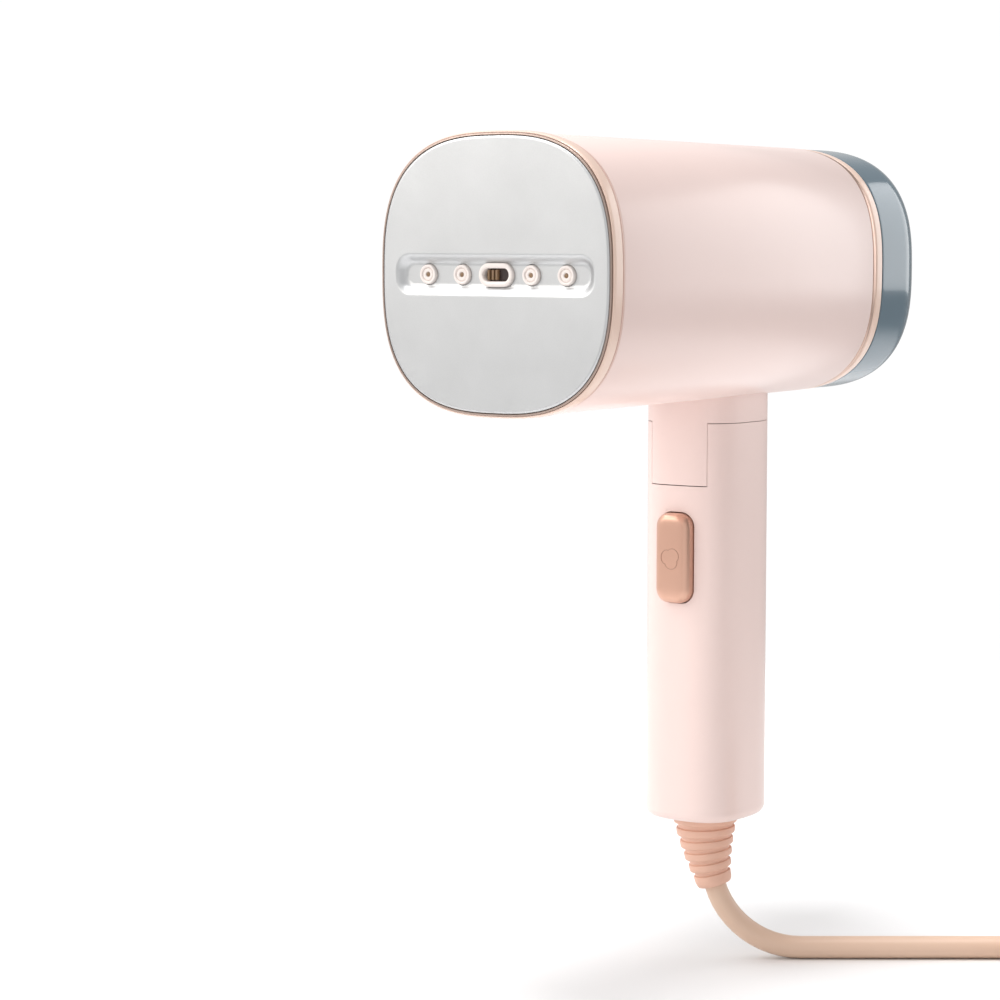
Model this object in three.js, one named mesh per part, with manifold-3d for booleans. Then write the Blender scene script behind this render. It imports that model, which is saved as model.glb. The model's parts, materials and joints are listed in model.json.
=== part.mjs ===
// A foldable handheld garment steamer, in millimetres, +Z up.
// The origin is the middle of the grip, on the handle's axis. The soleplate faces -Y and the tank is at +Y.
// The head turns about a cross pin at the top of the handle, and folds down in front of it.
import * as THREE from "three";
import { mergeVertices } from "three/addons/utils/BufferGeometryUtils.js";
import Module from "manifold-3d";

// Driving dimensions.
const GAP = 0.3; // between pieces that touch
const HEAD_Z = 117.5; // height of the head's long axis
const HEAD_EXPONENT = 2.75; // of the superellipse that the head's section follows
const HEAD_WIDE = 1.012; // the head's width over its height
const FACE_Y = -121.4; // the soleplate's working face
const SHELL_FRONT_Y = -114.6;
const SHELL_REAR_Y = 36.8;
const SHELL_FRONT_R = 43; // half the head's height at the front
const SHELL_REAR_R = 41.8;
const SHELL_WALL = 2.4;
const TANK_FRONT_Y = 43.9;
const TANK_REAR_Y = 79;
const TANK_ROUND = 20; // how far the tank's rounded end reaches forward
const TANK_WALL = 2.2;
const SPIGOT_FRONT_Y = 38.4; // the tank's spigot, which slides into the collar

const HANDLE_EXPONENT = 3;
const HANDLE_R = 19.2; // half the handle's depth
const HANDLE_WIDE = 0.911; // its width over its depth
const HANDLE_WALL = 2.4;
const SEAM_Z = 67.5; // underside of the neck
const HANDLE_TOP = SEAM_Z - 0.4;
const HANDLE_BOTTOM = -67;
const COVER_Y = 14.8; // parting line between the handle's shell and its back cover

const PIVOT_Y = -9;
const PIVOT_Z = 57;
const LUG_HALF = 10.8; // half the width of the neck's lug
const LUG_REAR_Y = 3.7;
const LUG_BOTTOM_Z = 46.7;
const LUG_SWEEP = 14.5; // radius of the lug's lower corners about the pivot
const PIN_R = 3.5;

const CHANNEL_HALF = 36.75; // half the length of the steam channel
const CHANNEL_TALL = 13;
const CHANNEL_DEEP = 2.2;
const NOZZLE_PITCH = 13;
const OUTLET_PROUD = 1.1; // how far the outlets stand out of the channel's floor
const PLATE_R = 42;
const PLATE_THICK = 5;

const BUTTON_Z = 22.4; // middle of the steam button
const BUTTON_WIDE = 13;
const BUTTON_TALL = 30;
const BUTTON_PROUD = 3.8;

const CLAMP_Z = -45;
const CLAMP_SCREW = 9;
const BOARD_Y = 2; // front of the control board in the handle
const PORT_Z = -12; // the water port, below the head's axis
const FILLER_Y = 56;

const CORD_R = 3.8;
const BOOT_TOP = HANDLE_BOTTOM - GAP;
const BOOT_LONG = 24.4;
const BOOT_LEAN = 0.28; // how far the boot's end has turned towards the cord's way, in radians
const FLOOR_Z = -117.5;
const COIL_TURN_R = 38; // the middle of the coil's turns
const COIL_WIDE = 2; // turns side by side
const COIL_HIGH = 4; // turns on each other
const COIL_ALONG = 152; // how far the coil lies along the cord's way
const PLUG_LONG = 34;
const PLUG_AT = 4; // how far the plug's body starts beyond the curl's end
// The way that the cord lies on the floor, out to the side.
const CORD_TURN = Math.PI * 0.203;

const wasm = await Module();
wasm.setup();

// Any closed geometry as a manifold-3d solid that faces out.
function solid(geometry) {
  const bare = geometry.index ? geometry.toNonIndexed() : geometry.clone();
  bare.deleteAttribute("normal");
  bare.deleteAttribute("uv");
  const merged = mergeVertices(bare, 1e-4);
  const index = merged.index.array;
  const kept = [];
  for (let i = 0; i < index.length; i += 3) {
    const [a, b, c] = [index[i], index[i + 1], index[i + 2]];
    if (a !== b && b !== c && a !== c) kept.push(a, b, c);
  }
  const vertProperties = new Float32Array(merged.attributes.position.array);
  const make = (list) =>
    new wasm.Manifold(new wasm.Mesh({ numProp: 3, vertProperties, triVerts: new Uint32Array(list) }));
  const made = make(kept);
  return made.volume() < 0 ? make(kept.reverse()) : made;
}

function geometryOf(body) {
  const mesh = body.getMesh();
  const geometry = new THREE.BufferGeometry();
  geometry.setAttribute("position", new THREE.BufferAttribute(new Float32Array(mesh.vertProperties), 3));
  geometry.setIndex(new THREE.BufferAttribute(new Uint32Array(mesh.triVerts), 1));
  geometry.computeVertexNormals();
  return geometry;
}

function box(x0, x1, y0, y1, z0, z1) {
  const made = new THREE.BoxGeometry(x1 - x0, y1 - y0, z1 - z0);
  return made.translate((x0 + x1) / 2, (y0 + y1) / 2, (z0 + z1) / 2);
}

// A profile of [radius, along] points turned about the Y axis.
function turned(profile, segments = 24) {
  return new THREE.LatheGeometry(profile.map(([r, y]) => new THREE.Vector2(r, y)), segments);
}

const alongX = (geometry) => geometry.rotateZ(-Math.PI / 2);
const alongZ = (geometry) => geometry.rotateX(Math.PI / 2);
const rod = (r, y0, y1, segments = 20) => turned([[0, y0], [r, y0], [r, y1], [0, y1]], segments);
const sleeve = (inner, outer, y0, y1, segments = 24) =>
  turned([[inner, y0], [outer, y0], [outer, y1], [inner, y1], [inner, y0]], segments);

// Turns a round solid about Y into one whose section is a superellipse.
function squared(geometry, wide, exponent) {
  const place = geometry.attributes.position;
  for (let i = 0; i < place.count; i++) {
    const [x, z] = [place.getX(i), place.getZ(i)];
    const r = Math.hypot(x, z);
    if (r < 1e-6) continue;
    const reach = ((Math.abs(x) / r) ** exponent + (Math.abs(z) / r) ** exponent) ** (-1 / exponent);
    place.setX(i, x * reach * wide);
    place.setZ(i, z * reach);
  }
  return geometry;
}

const headSolid = (profile, segments = 48) => squared(turned(profile, segments), HEAD_WIDE, HEAD_EXPONENT);
const headRing = (inner, outer, y0, y1) =>
  headSolid([[inner, y0], [outer, y0], [outer, y1], [inner, y1], [inner, y0]]);
const handleSolid = (profile) => alongZ(squared(turned(profile, 40), HANDLE_WIDE, HANDLE_EXPONENT));
const handleColumn = (r, z0, z1) => handleSolid([[0, z0], [r, z0], [r, z1], [0, z1]]);

// A rounded rectangle in the plane of x and z, cut deep along y.
function pad(wide, tall, corner, y0, y1, bevel = 0) {
  const [w, h] = [wide / 2 - bevel, tall / 2 - bevel];
  const r = Math.max(corner - bevel, 0.2);
  const shape = new THREE.Shape();
  shape.moveTo(w, h - r);
  shape.absarc(w - r, h - r, r, 0, Math.PI / 2);
  shape.absarc(-w + r, h - r, r, Math.PI / 2, Math.PI);
  shape.absarc(-w + r, -h + r, r, Math.PI, Math.PI * 1.5);
  shape.absarc(w - r, -h + r, r, Math.PI * 1.5, Math.PI * 2);
  const made = new THREE.ExtrudeGeometry(shape, {
    depth: y1 - y0 - 2 * bevel,
    bevelEnabled: bevel > 0,
    bevelThickness: bevel,
    bevelSize: bevel,
    bevelSegments: 2,
    curveSegments: 5,
  });
  return made.translate(0, 0, y0 + bevel).rotateX(Math.PI / 2).translate(0, y0 + y1, 0);
}

// An outline of [y, z] points, cut through from x = -half to x = half.
function sideCut(points, half) {
  const shape = new THREE.Shape(points.map(([y, z]) => new THREE.Vector2(y, z)));
  const made = new THREE.ExtrudeGeometry(shape, { depth: 2 * half, bevelEnabled: false });
  // The shape's x is the part's y and its y is the part's z.
  return made.translate(0, 0, -half).rotateX(Math.PI / 2).rotateZ(Math.PI / 2);
}

// A round tube along a smooth curve through points, hollow when it has a bore.
function tube(points, r, bore, steps, sides) {
  const curve = new THREE.CatmullRomCurve3(points.map((p) => new THREE.Vector3(...p)), false, "centripetal");
  const shape = ring(r, sides);
  if (bore > 0) shape.holes.push(ring(bore, sides));
  return new THREE.ExtrudeGeometry(shape, { steps, bevelEnabled: false, extrudePath: curve });
}

function ring(r, sides) {
  const corners = Array.from({ length: sides }, (_, i) => {
    const turn = (i / sides) * Math.PI * 2;
    return new THREE.Vector2(r * Math.cos(turn), r * Math.sin(turn));
  });
  return new THREE.Shape(corners);
}

// A compression spring about Y, of a given number of turns.
function spring(r, wire, y0, y1, turns) {
  const perTurn = 9;
  const points = Array.from({ length: turns * perTurn + 1 }, (_, i) => {
    const turn = (i / perTurn) * Math.PI * 2;
    const along = y0 + wire + ((y1 - y0 - 2 * wire) * i) / (turns * perTurn);
    return [r * Math.cos(turn), along, r * Math.sin(turn)];
  });
  return tube(points, wire, 0, turns * perTurn, 5);
}

// A pan-head screw about Y: its head's top is at y0 and its shank runs towards +Y.
function screw(headR, shankR, long) {
  const top = [[0, 0], [headR * 0.8, 0], [headR, 0.7], [headR, 2]];
  return turned([...top, [shankR, 2], [shankR, long], [0, long]], 14);
}

const plastic = (color, roughness) => new THREE.MeshStandardMaterial({ color, roughness, metalness: 0 });
const metal = (color, roughness) => new THREE.MeshStandardMaterial({ color, roughness, metalness: 1 });
const materials = {
  shell: plastic(0xf6d9d0, 0.34),
  bezel: plastic(0xf3cfc0, 0.3),
  roseTrim: metal(0xcf9a86, 0.35),
  button: plastic(0xd9a08a, 0.4),
  plate: metal(0xd3d4d6, 0.35),
  insert: plastic(0xf4e6dc, 0.4),
  tank: plastic(0x5f7380, 0.12),
  clear: plastic(0xdfe6ea, 0.2),
  rubber: plastic(0xe8b9a4, 0.6),
  seal: plastic(0x3a3c40, 0.7),
  inner: plastic(0xe9e7e4, 0.5),
  casting: metal(0xa9abae, 0.5),
  steel: metal(0xb9bcc0, 0.3),
  board: plastic(0x2f6a4a, 0.5),
  dark: plastic(0x26282b, 0.5),
  cord: plastic(0xe9c3b0, 0.5),
};

const steamer = new THREE.Group();
const handle = new THREE.Group();
const head = new THREE.Group();
const tank = new THREE.Group();
const lead = new THREE.Group();
head.position.z = HEAD_Z;
steamer.add(handle, head, lead);
head.add(tank);

function piece(parent, name, material, shape, position = [0, 0, 0]) {
  const body = shape instanceof THREE.BufferGeometry ? solid(shape) : shape;
  const mesh = new THREE.Mesh(geometryOf(body), materials[material]);
  mesh.name = name;
  mesh.position.set(...position);
  parent.add(mesh);
  return body;
}

// ---- Head: soleplate and steam outlets ----

// A flat bar with sloping sides and ends, to be sunk into the soleplate.
function channelCut() {
  const slope = CHANNEL_DEEP * 1.4;
  const tall = CHANNEL_TALL / 2;
  const outline = new THREE.Shape([
    new THREE.Vector2(-CHANNEL_HALF + slope, -tall + slope),
    new THREE.Vector2(CHANNEL_HALF - slope, -tall + slope),
    new THREE.Vector2(CHANNEL_HALF - slope, tall - slope),
    new THREE.Vector2(-CHANNEL_HALF + slope, tall - slope),
  ]);
  const made = new THREE.ExtrudeGeometry(outline, {
    depth: 1,
    bevelEnabled: true,
    bevelThickness: CHANNEL_DEEP,
    bevelSize: slope,
    bevelSegments: 1,
  });
  // The wide middle of the bar stands in front of the face, and its rear bevel makes the slopes.
  return made.rotateX(-Math.PI / 2).translate(0, FACE_Y - 1, 0);
}

const nozzlePlaces = [-2, -1, 1, 2].map((step) => step * NOZZLE_PITCH);
const floorY = FACE_Y + CHANNEL_DEEP;
const plateRear = FACE_Y + PLATE_THICK;

function soleplate() {
  let body = solid(headSolid([
    [0, FACE_Y], [PLATE_R - 0.8, FACE_Y], [PLATE_R, FACE_Y + 0.8], [PLATE_R, plateRear], [0, plateRear],
  ]));
  body = body.subtract(solid(channelCut()));
  for (const x of nozzlePlaces) {
    body = body.subtract(solid(rod(2.3, FACE_Y - 1, plateRear + 1, 16).translate(x, 0, 0)));
  }
  return body.subtract(solid(pad(11.6, 6.2, 3.05, FACE_Y - 1, plateRear + 1)));
}
piece(head, "soleplate", "plate", soleplate());

nozzlePlaces.forEach((x, i) => {
  const flangeY = floorY - OUTLET_PROUD;
  const nozzle = turned(
    [[0.8, flangeY + 0.5], [2.1, flangeY], [3.2, flangeY], [3.2, floorY - 0.25], [1.9, floorY - 0.25],
      [1.9, plateRear - 0.2], [0.8, plateRear - 0.2], [0.8, flangeY + 0.5]], 16);
  piece(head, `steam_nozzle_${i + 1}`, "insert", nozzle, [x, 0, 0]);
});

function centreOutlet() {
  const rim = solid(pad(12.8, 7.3, 3.6, floorY - OUTLET_PROUD, floorY - 0.25, 0.2));
  const stem = solid(pad(11, 5.6, 2.75, floorY - 0.5, plateRear - 0.2));
  return rim.add(stem).subtract(solid(pad(9.2, 3.9, 1.9, floorY - 3, plateRear + 1)));
}
piece(head, "centre_outlet", "insert", centreOutlet());

const trimRing = headRing(PLATE_R + 0.25, PLATE_R + 0.75, FACE_Y + 0.4, FACE_Y + 4);
piece(head, "sole_trim_ring", "roseTrim", trimRing);
piece(head, "front_bezel", "bezel", headSolid([
  [PLATE_R + GAP, FACE_Y + 4.3], [PLATE_R + 1, FACE_Y + 4.3], [PLATE_R + 1, FACE_Y + 1.2],
  [PLATE_R + 1.5, FACE_Y + 1], [PLATE_R + 1.6, FACE_Y + 2], [PLATE_R + 1.5, SHELL_FRONT_Y - 1.4],
  [PLATE_R + 0.9, SHELL_FRONT_Y - 0.4], [PLATE_R - 1.5, SHELL_FRONT_Y - 0.4],
  [PLATE_R - 1.5, plateRear + GAP],
  [PLATE_R + GAP, plateRear + GAP], [PLATE_R + GAP, FACE_Y + 4.3],
]));

// ---- Head: boiler ----

const CHAMBER_X = 30;
const CHAMBER_Z = 16;
const chamberFront = plateRear + GAP;
const chamberRear = chamberFront + 16;
const coverRear = chamberRear + GAP + 3;
const screwPlaces = [[-26, 0], [26, 0]];

function steamChamber() {
  let body = solid(box(-CHAMBER_X, CHAMBER_X, chamberFront, chamberRear, -CHAMBER_Z, CHAMBER_Z));
  body = body.subtract(solid(box(-22, 22, chamberFront + 5, chamberRear + 1, -12, 12)));
  for (const x of [...nozzlePlaces.filter((place) => Math.abs(place) < 20), 0]) {
    body = body.subtract(solid(rod(1.6, chamberFront - 1, chamberRear, 12).translate(x, 0, 0)));
  }
  for (const [x, z] of screwPlaces) {
    body = body.subtract(solid(rod(1.9, chamberFront - 1, chamberRear + 1, 14).translate(x, 0, z)));
  }
  return body;
}
piece(head, "steam_chamber", "casting", steamChamber());

function chamberCover() {
  let body = solid(box(-CHAMBER_X, CHAMBER_X, chamberRear + GAP, coverRear, -CHAMBER_Z, CHAMBER_Z));
  body = body.add(solid(rod(2, coverRear - 1, coverRear + 7, 14)));
  body = body.subtract(solid(rod(1, chamberRear - 1, coverRear + 9, 12)));
  for (const [x, z] of screwPlaces) {
    body = body.subtract(solid(rod(1.9, chamberRear - 1, coverRear + 1, 14).translate(x, 0, z)));
  }
  return body;
}
piece(head, "chamber_cover", "casting", chamberCover());
screwPlaces.forEach(([x, z], i) => {
  const place = [x, coverRear + 2 + GAP, z];
  piece(head, `chamber_screw_${i + 1}`, "steel", screw(2.8, 1.5, 20).rotateX(Math.PI), place);
});

const heaterY = (chamberFront + chamberRear) / 2;
const heaterTop = [[-34, 6, 20], [-28, 0, 20], [27, 0, 20], [33, 0, 18.6], [35, 0, 13]];
const heaterLoop = [...heaterTop, ...heaterTop.map(([x, y, z]) => [x, y, -z]).reverse()];
piece(head, "heating_element", "steel", tube(heaterLoop, 2.9, 0, 44, 8), [0, heaterY, 0]);
piece(head, "thermostat", "dark", turned([[0, 0], [7, 0], [7, 3], [5.5, 3.4], [5.5, 6.5], [0, 6.5]]),
  [-14, coverRear + GAP, 0]);

// ---- Head: shell, neck and fold lug ----

const shellR = (y) =>
  SHELL_FRONT_R + ((SHELL_REAR_R - SHELL_FRONT_R) * (y - SHELL_FRONT_Y)) / (SHELL_REAR_Y - SHELL_FRONT_Y);
// The handle's column, in the head's own height.
const neckColumn = (r, z0, z1) => handleColumn(r, z0, z1).translate(0, 0, -HEAD_Z);
const NECK_TOP = 80.2;
const SPIGOT_R = 14.5;

function headShell() {
  const [front, rear] = [shellR(SHELL_FRONT_Y), shellR(SHELL_REAR_Y)];
  const body = solid(headSolid([
    [front - SHELL_WALL, SHELL_FRONT_Y], [front - 0.6, SHELL_FRONT_Y], [front, SHELL_FRONT_Y + 0.6],
    [rear, SHELL_REAR_Y - 0.5], [rear - 0.5, SHELL_REAR_Y], [rear - SHELL_WALL, SHELL_REAR_Y],
    [front - SHELL_WALL, SHELL_FRONT_Y],
  ]));
  return body.subtract(solid(neckColumn(SPIGOT_R + GAP, 60, 90)));
}
piece(head, "head_shell", "shell", headShell());

// How far from the pivot the handle's cheek reaches at a given distance from the middle.
function cheekReach(x) {
  const share = 1 - Math.min(Math.abs(x) / (HANDLE_R * HANDLE_WIDE), 1) ** HANDLE_EXPONENT;
  const frontY = HANDLE_R * share ** (1 / HANDLE_EXPONENT);
  return Math.hypot(Math.max(frontY + PIVOT_Y, 0), HANDLE_TOP - PIVOT_Z);
}

// The hollow that lets the cheek's front corner swing past the neck.
function cheekPocket(side) {
  const outer = HANDLE_R * HANDLE_WIDE + 1;
  const places = [LUG_HALF, 12, 13.2, 14.4, 15.4, 16.2, 16.8, outer];
  const profile = places.map((x) => [cheekReach(x) + 0.38, x]);
  const made = turned([[0, LUG_HALF], ...profile, [0, outer]], 40);
  return alongX(made.rotateX(side < 0 ? Math.PI : 0)).translate(0, PIVOT_Y, PIVOT_Z - HEAD_Z);
}

function neck() {
  const outside = solid(headSolid([
    [0, SHELL_FRONT_Y], [shellR(SHELL_FRONT_Y) + GAP, SHELL_FRONT_Y],
    [shellR(SHELL_REAR_Y) + GAP, SHELL_REAR_Y], [0, SHELL_REAR_Y],
  ]));
  let body = solid(handleSolid([
    [0, SEAM_Z], [HANDLE_R - 0.8, SEAM_Z], [HANDLE_R, SEAM_Z + 0.8], [HANDLE_R, 86], [0, 86],
  ]).translate(0, 0, -HEAD_Z)).subtract(outside);
  body = body.add(solid(neckColumn(SPIGOT_R, SEAM_Z + 2, NECK_TOP)));
  const lugOutline = [
    [-HANDLE_R - 1, SEAM_Z + 1], [-HANDLE_R - 1, LUG_BOTTOM_Z],
    [LUG_REAR_Y, LUG_BOTTOM_Z], [LUG_REAR_Y, SEAM_Z + 1],
  ];
  let lug = solid(sideCut(lugOutline, LUG_HALF)).intersect(solid(handleColumn(HANDLE_R, 40, SEAM_Z + 2)));
  const sweep = solid(alongX(rod(LUG_SWEEP + 0.05, -20, 20, 48)).translate(0, PIVOT_Y, PIVOT_Z));
  lug = lug.intersect(sweep.add(solid(box(-20, 20, -30, 30, PIVOT_Z, 90))));
  body = body.add(lug.translate(0, 0, -HEAD_Z));
  for (const side of [-1, 1]) body = body.subtract(solid(cheekPocket(side)));
  const pivot = (shape) => solid(shape.translate(0, PIVOT_Y, PIVOT_Z - HEAD_Z));
  body = body.subtract(pivot(alongX(rod(PIN_R + GAP, -20, 20, 20))));
  body = body.subtract(pivot(alongX(rod(7.3, LUG_HALF - 0.9, 20, 24))));
  body = body.subtract(pivot(alongX(rod(7.3, -20, 0.9 - LUG_HALF, 24))));
  // The way for the wires, from the handle up into the head.
  body = body.subtract(solid(box(-4, 4, -13, 8, 40 - HEAD_Z, 90 - HEAD_Z)));
  for (const y of [-11.2, 11.2]) {
    const hole = alongZ(rod(1.5, SEAM_Z + 3 - HEAD_Z, 90 - HEAD_Z, 12));
    if (y > 0) body = body.subtract(solid(hole.translate(0, y, 0)));
    else body = body.subtract(solid(hole.translate(7.5, y, 0)));
  }
  return body;
}
piece(head, "neck_and_lug", "shell", neck());

function neckPlate() {
  const z = NECK_TOP + GAP - HEAD_Z;
  let body = solid(box(-18, 18, -19, 19, z, z + 2.4)).subtract(solid(box(-5, 5, -8, 6, z - 1, z + 4)));
  for (const [x, y] of [[0, 11.2], [7.5, -11.2]]) {
    body = body.subtract(solid(alongZ(rod(1.7, z - 1, z + 4, 12)).translate(x, y, 0)));
  }
  return body;
}
piece(head, "neck_plate", "casting", neckPlate());
[[0, 11.2, "rear"], [7.5, -11.2, "front"]].forEach(([x, y, where]) => {
  const top = NECK_TOP + GAP + 2.4 + GAP + 2 - HEAD_Z;
  piece(head, `neck_screw_${where}`, "steel", screw(2.8, 1.2, 9).rotateX(-Math.PI / 2), [x, y, top]);
});

// ---- Head: chassis, pump and water lines ----

const SHELF_Z = -22;
const PUMP_Z = 12;
const PUMP_R = 11;
const PUMP_FRONT = -70;
const PUMP_REAR = -36;

function shelf() {
  const body = solid(box(-34, 34, -92, 30, SHELF_Z - 1, SHELF_Z + 1));
  return body.subtract(solid(box(-9, 9, -16, 12, SHELF_Z - 3, SHELF_Z + 3)));
}
piece(head, "chassis_shelf", "inner", shelf());
piece(head, "pump", "dark", turned([
  [0, PUMP_FRONT - 7], [2, PUMP_FRONT - 7], [2, PUMP_FRONT], [PUMP_R, PUMP_FRONT], [PUMP_R, PUMP_REAR],
  [2, PUMP_REAR], [2, PUMP_REAR + 7], [0, PUMP_REAR + 7],
]), [0, 0, PUMP_Z]);
const saddleTop = PUMP_Z - 2;
piece(head, "pump_cradle", "rubber",
  solid(box(-14, 14, -62, -44, SHELF_Z + 1 + GAP, saddleTop)).subtract(
    solid(rod(PUMP_R + GAP, -70, -40, 24).translate(0, 0, PUMP_Z))));
piece(head, "outlet_hose", "clear", tube(
  [[0, PUMP_FRONT - 7.5, PUMP_Z], [0, PUMP_FRONT - 8.5, PUMP_Z], [0, PUMP_FRONT - 12, PUMP_Z / 2],
    [0, coverRear + 9, 0], [0, coverRear + 7.5, 0]], 2.6, 1.3, 10, 8));
piece(head, "inlet_hose", "clear", tube(
  [[0, PUMP_REAR + 7.5, PUMP_Z], [0, PUMP_REAR + 9, PUMP_Z], [0, PUMP_REAR + 19, PUMP_Z - 4],
    [0, 4, PORT_Z + 6],
    [0, 16, PORT_Z], [0, 23 - GAP, PORT_Z]], 2.6, 1.3, 14, 8));

function bulkhead() {
  const r = shellR(SHELL_REAR_Y) - SHELL_WALL - 0.5;
  const body = solid(headSolid([[0, 32.8], [r, 32.8], [r, 35.8], [0, 35.8]]));
  return body.subtract(solid(rod(4.6, 30, 38, 18).translate(0, 0, PORT_Z)));
}
piece(head, "dock_bulkhead", "inner", bulkhead());
piece(head, "dock_port", "inner", turned([
  [0, 23], [2.2, 23], [2.2, 30.8], [6, 30.8], [6, 32.4], [4.2, 32.4], [4.2, 38.4], [1, 38.4],
  [1, 43.9], [0, 43.9],
]), [0, 0, PORT_Z]);
piece(head, "dock_seal", "seal", sleeve(4.6, 6.4, 36.2, 38), [0, 0, PORT_Z]);
piece(head, "rear_trim_ring", "roseTrim", headRing(39.9, 41.3, SHELL_REAR_Y + 0.35, SHELL_REAR_Y + 1.9));
piece(head, "tank_collar", "bezel", headSolid([
  [39.4, SHELL_REAR_Y + 2.2], [41.2, SHELL_REAR_Y + 2.2], [41.7, SHELL_REAR_Y + 2.8],
  [41.6, TANK_FRONT_Y - 0.8],
  [41.2, TANK_FRONT_Y - 0.35], [39.4, TANK_FRONT_Y - 0.35], [39.4, SHELL_REAR_Y + 2.2],
]));

// ---- Tank ----

const TANK_R = 41.5;
// Points of the tank's rounded end, at a given distance inside its outer surface.
function tankEnd(inset, steps) {
  return Array.from({ length: steps + 1 }, (_, i) => {
    const turn = (i / steps) * (Math.PI / 2);
    const round = TANK_ROUND - inset;
    return [TANK_R - TANK_ROUND + round * Math.cos(turn), TANK_REAR_Y - TANK_ROUND + round * Math.sin(turn)];
  });
}

function waterTank() {
  const rim = [[TANK_R - 0.4, TANK_FRONT_Y], [TANK_R, TANK_FRONT_Y + 0.5]];
  const outer = [...rim, ...tankEnd(0, 7), [0, TANK_REAR_Y]];
  const inner = [[0, TANK_REAR_Y - TANK_WALL], ...tankEnd(TANK_WALL, 5).reverse(),
    [TANK_R - TANK_WALL, TANK_FRONT_Y], [TANK_R - 0.4, TANK_FRONT_Y]];
  let body = solid(headSolid([...outer, ...inner]));
  const filler = (r, low, high) => solid(alongZ(rod(r, low, high, 24)).translate(0, FILLER_Y, 0));
  body = body.subtract(filler(6.4, -50, -30));
  return body.subtract(filler(8.8, -50, -TANK_R + 1.15));
}
piece(tank, "water_tank", "tank", waterTank());

const LID_Y = 46.4;
function tankLid() {
  const r = TANK_R - TANK_WALL - GAP;
  const body = solid(headSolid([
    [0, LID_Y], [r - 2.3, LID_Y], [r - 2.3, SPIGOT_FRONT_Y], [r - 0.4, SPIGOT_FRONT_Y], [r - 0.4, LID_Y - 1],
    [r, LID_Y - 0.6], [r, LID_Y + 2.4], [0, LID_Y + 2.4],
  ]));
  return body.subtract(solid(rod(3.4, 40, 52, 18).translate(0, 0, PORT_Z)));
}
piece(tank, "tank_lid", "inner", tankLid());
const seatY = LID_Y + 2.4 + GAP;
piece(tank, "valve_cage", "inner", turned([
  [4.7, seatY], [7, seatY], [7, seatY + 13.5], [2, seatY + 13.5], [2, seatY + 12], [4.7, seatY + 12],
  [4.7, seatY],
]), [0, 0, PORT_Z]);
piece(tank, "valve_poppet", "steel", turned([
  [0, 44.4], [0.9, 44.4], [0.9, seatY + GAP], [4.1, seatY + GAP], [4.1, seatY + 2], [1.2, seatY + 2.2],
  [1.2, seatY + 5], [0, seatY + 5],
], 18), [0, 0, PORT_Z]);
piece(tank, "valve_spring", "steel", spring(2.9, 0.35, seatY + 2.4, seatY + 11.7, 4), [0, 0, PORT_Z]);
piece(tank, "pickup_hose", "clear", tube(
  [[0, seatY + 13.9, PORT_Z], [0, seatY + 16, PORT_Z - 1.5], [0, seatY + 17.2, PORT_Z - 8],
    [0, seatY + 15.5, PORT_Z - 15.5]], 2, 1, 9, 8));
piece(tank, "filler_plug", "rubber", alongZ(turned([
  [0, -TANK_R + 0.1], [8.4, -TANK_R + 0.1], [8.4, -TANK_R + 0.9], [6, -TANK_R + 0.9],
  [6, -TANK_R + 4.4], [0, -TANK_R + 4.4],
])), [0, FILLER_Y, 0]);

// ---- Handle ----

const innerR = HANDLE_R - HANDLE_WALL;

// The hollow handle with its two cheeks, before it is parted into shell and back cover.
function wholeHandle() {
  const round = 2.6;
  const foot = [0, 1, 2, 3].map((i) => {
    const turn = (i / 3) * (Math.PI / 2);
    return [HANDLE_R - round + round * Math.sin(turn), HANDLE_BOTTOM + round - round * Math.cos(turn)];
  });
  let body = solid(handleSolid([
    [0, HANDLE_BOTTOM], ...foot, [HANDLE_R, HANDLE_TOP - 0.5], [HANDLE_R - 0.5, HANDLE_TOP],
    [innerR, HANDLE_TOP],
    [innerR, HANDLE_BOTTOM + HANDLE_WALL], [0, HANDLE_BOTTOM + HANDLE_WALL],
  ]));
  const cheeks = solid(handleColumn(innerR + 0.5, 40, HANDLE_TOP)).subtract(
    solid(box(-LUG_HALF - GAP, LUG_HALF + GAP, -30, 30, 30, 80)));
  body = body.add(cheeks);
  // The slot for the lug is open to the front, with its lower lip sloped to let the lug's corner past.
  const slot = [
    [-30, 46.2], [-HANDLE_R - 0.1, 46.2], [-15.5, 43.2], [COVER_Y - 0.4, 43.2], [COVER_Y - 0.4, 80], [-30, 80],
  ];
  body = body.subtract(solid(sideCut(slot, LUG_HALF + GAP)));
  const pivot = (shape) => solid(shape.translate(0, PIVOT_Y, PIVOT_Z));
  body = body.subtract(pivot(alongX(rod(PIN_R + GAP, -14.6, 14.6, 20))));
  const window = pad(BUTTON_WIDE + 0.7, BUTTON_TALL + 0.7, 4.85, -30, -10);
  body = body.subtract(solid(window.translate(0, 0, BUTTON_Z)));
  return body.subtract(solid(alongZ(rod(8.1, -80, -60, 24))));
}

// Takes the cord's way and the two screws' holes out of either half of the clamp.
function clampHoles(half) {
  let body = half.subtract(solid(alongZ(rod(CORD_R + GAP, -60, -30, 20))));
  for (const x of [-CLAMP_SCREW, CLAMP_SCREW]) {
    body = body.subtract(solid(rod(1.5, -12, 6, 12).translate(x, 0, CLAMP_Z)));
  }
  return body;
}

const bridges = [-50, 33]; // heights of the bars that take the back cover's screws

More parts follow.
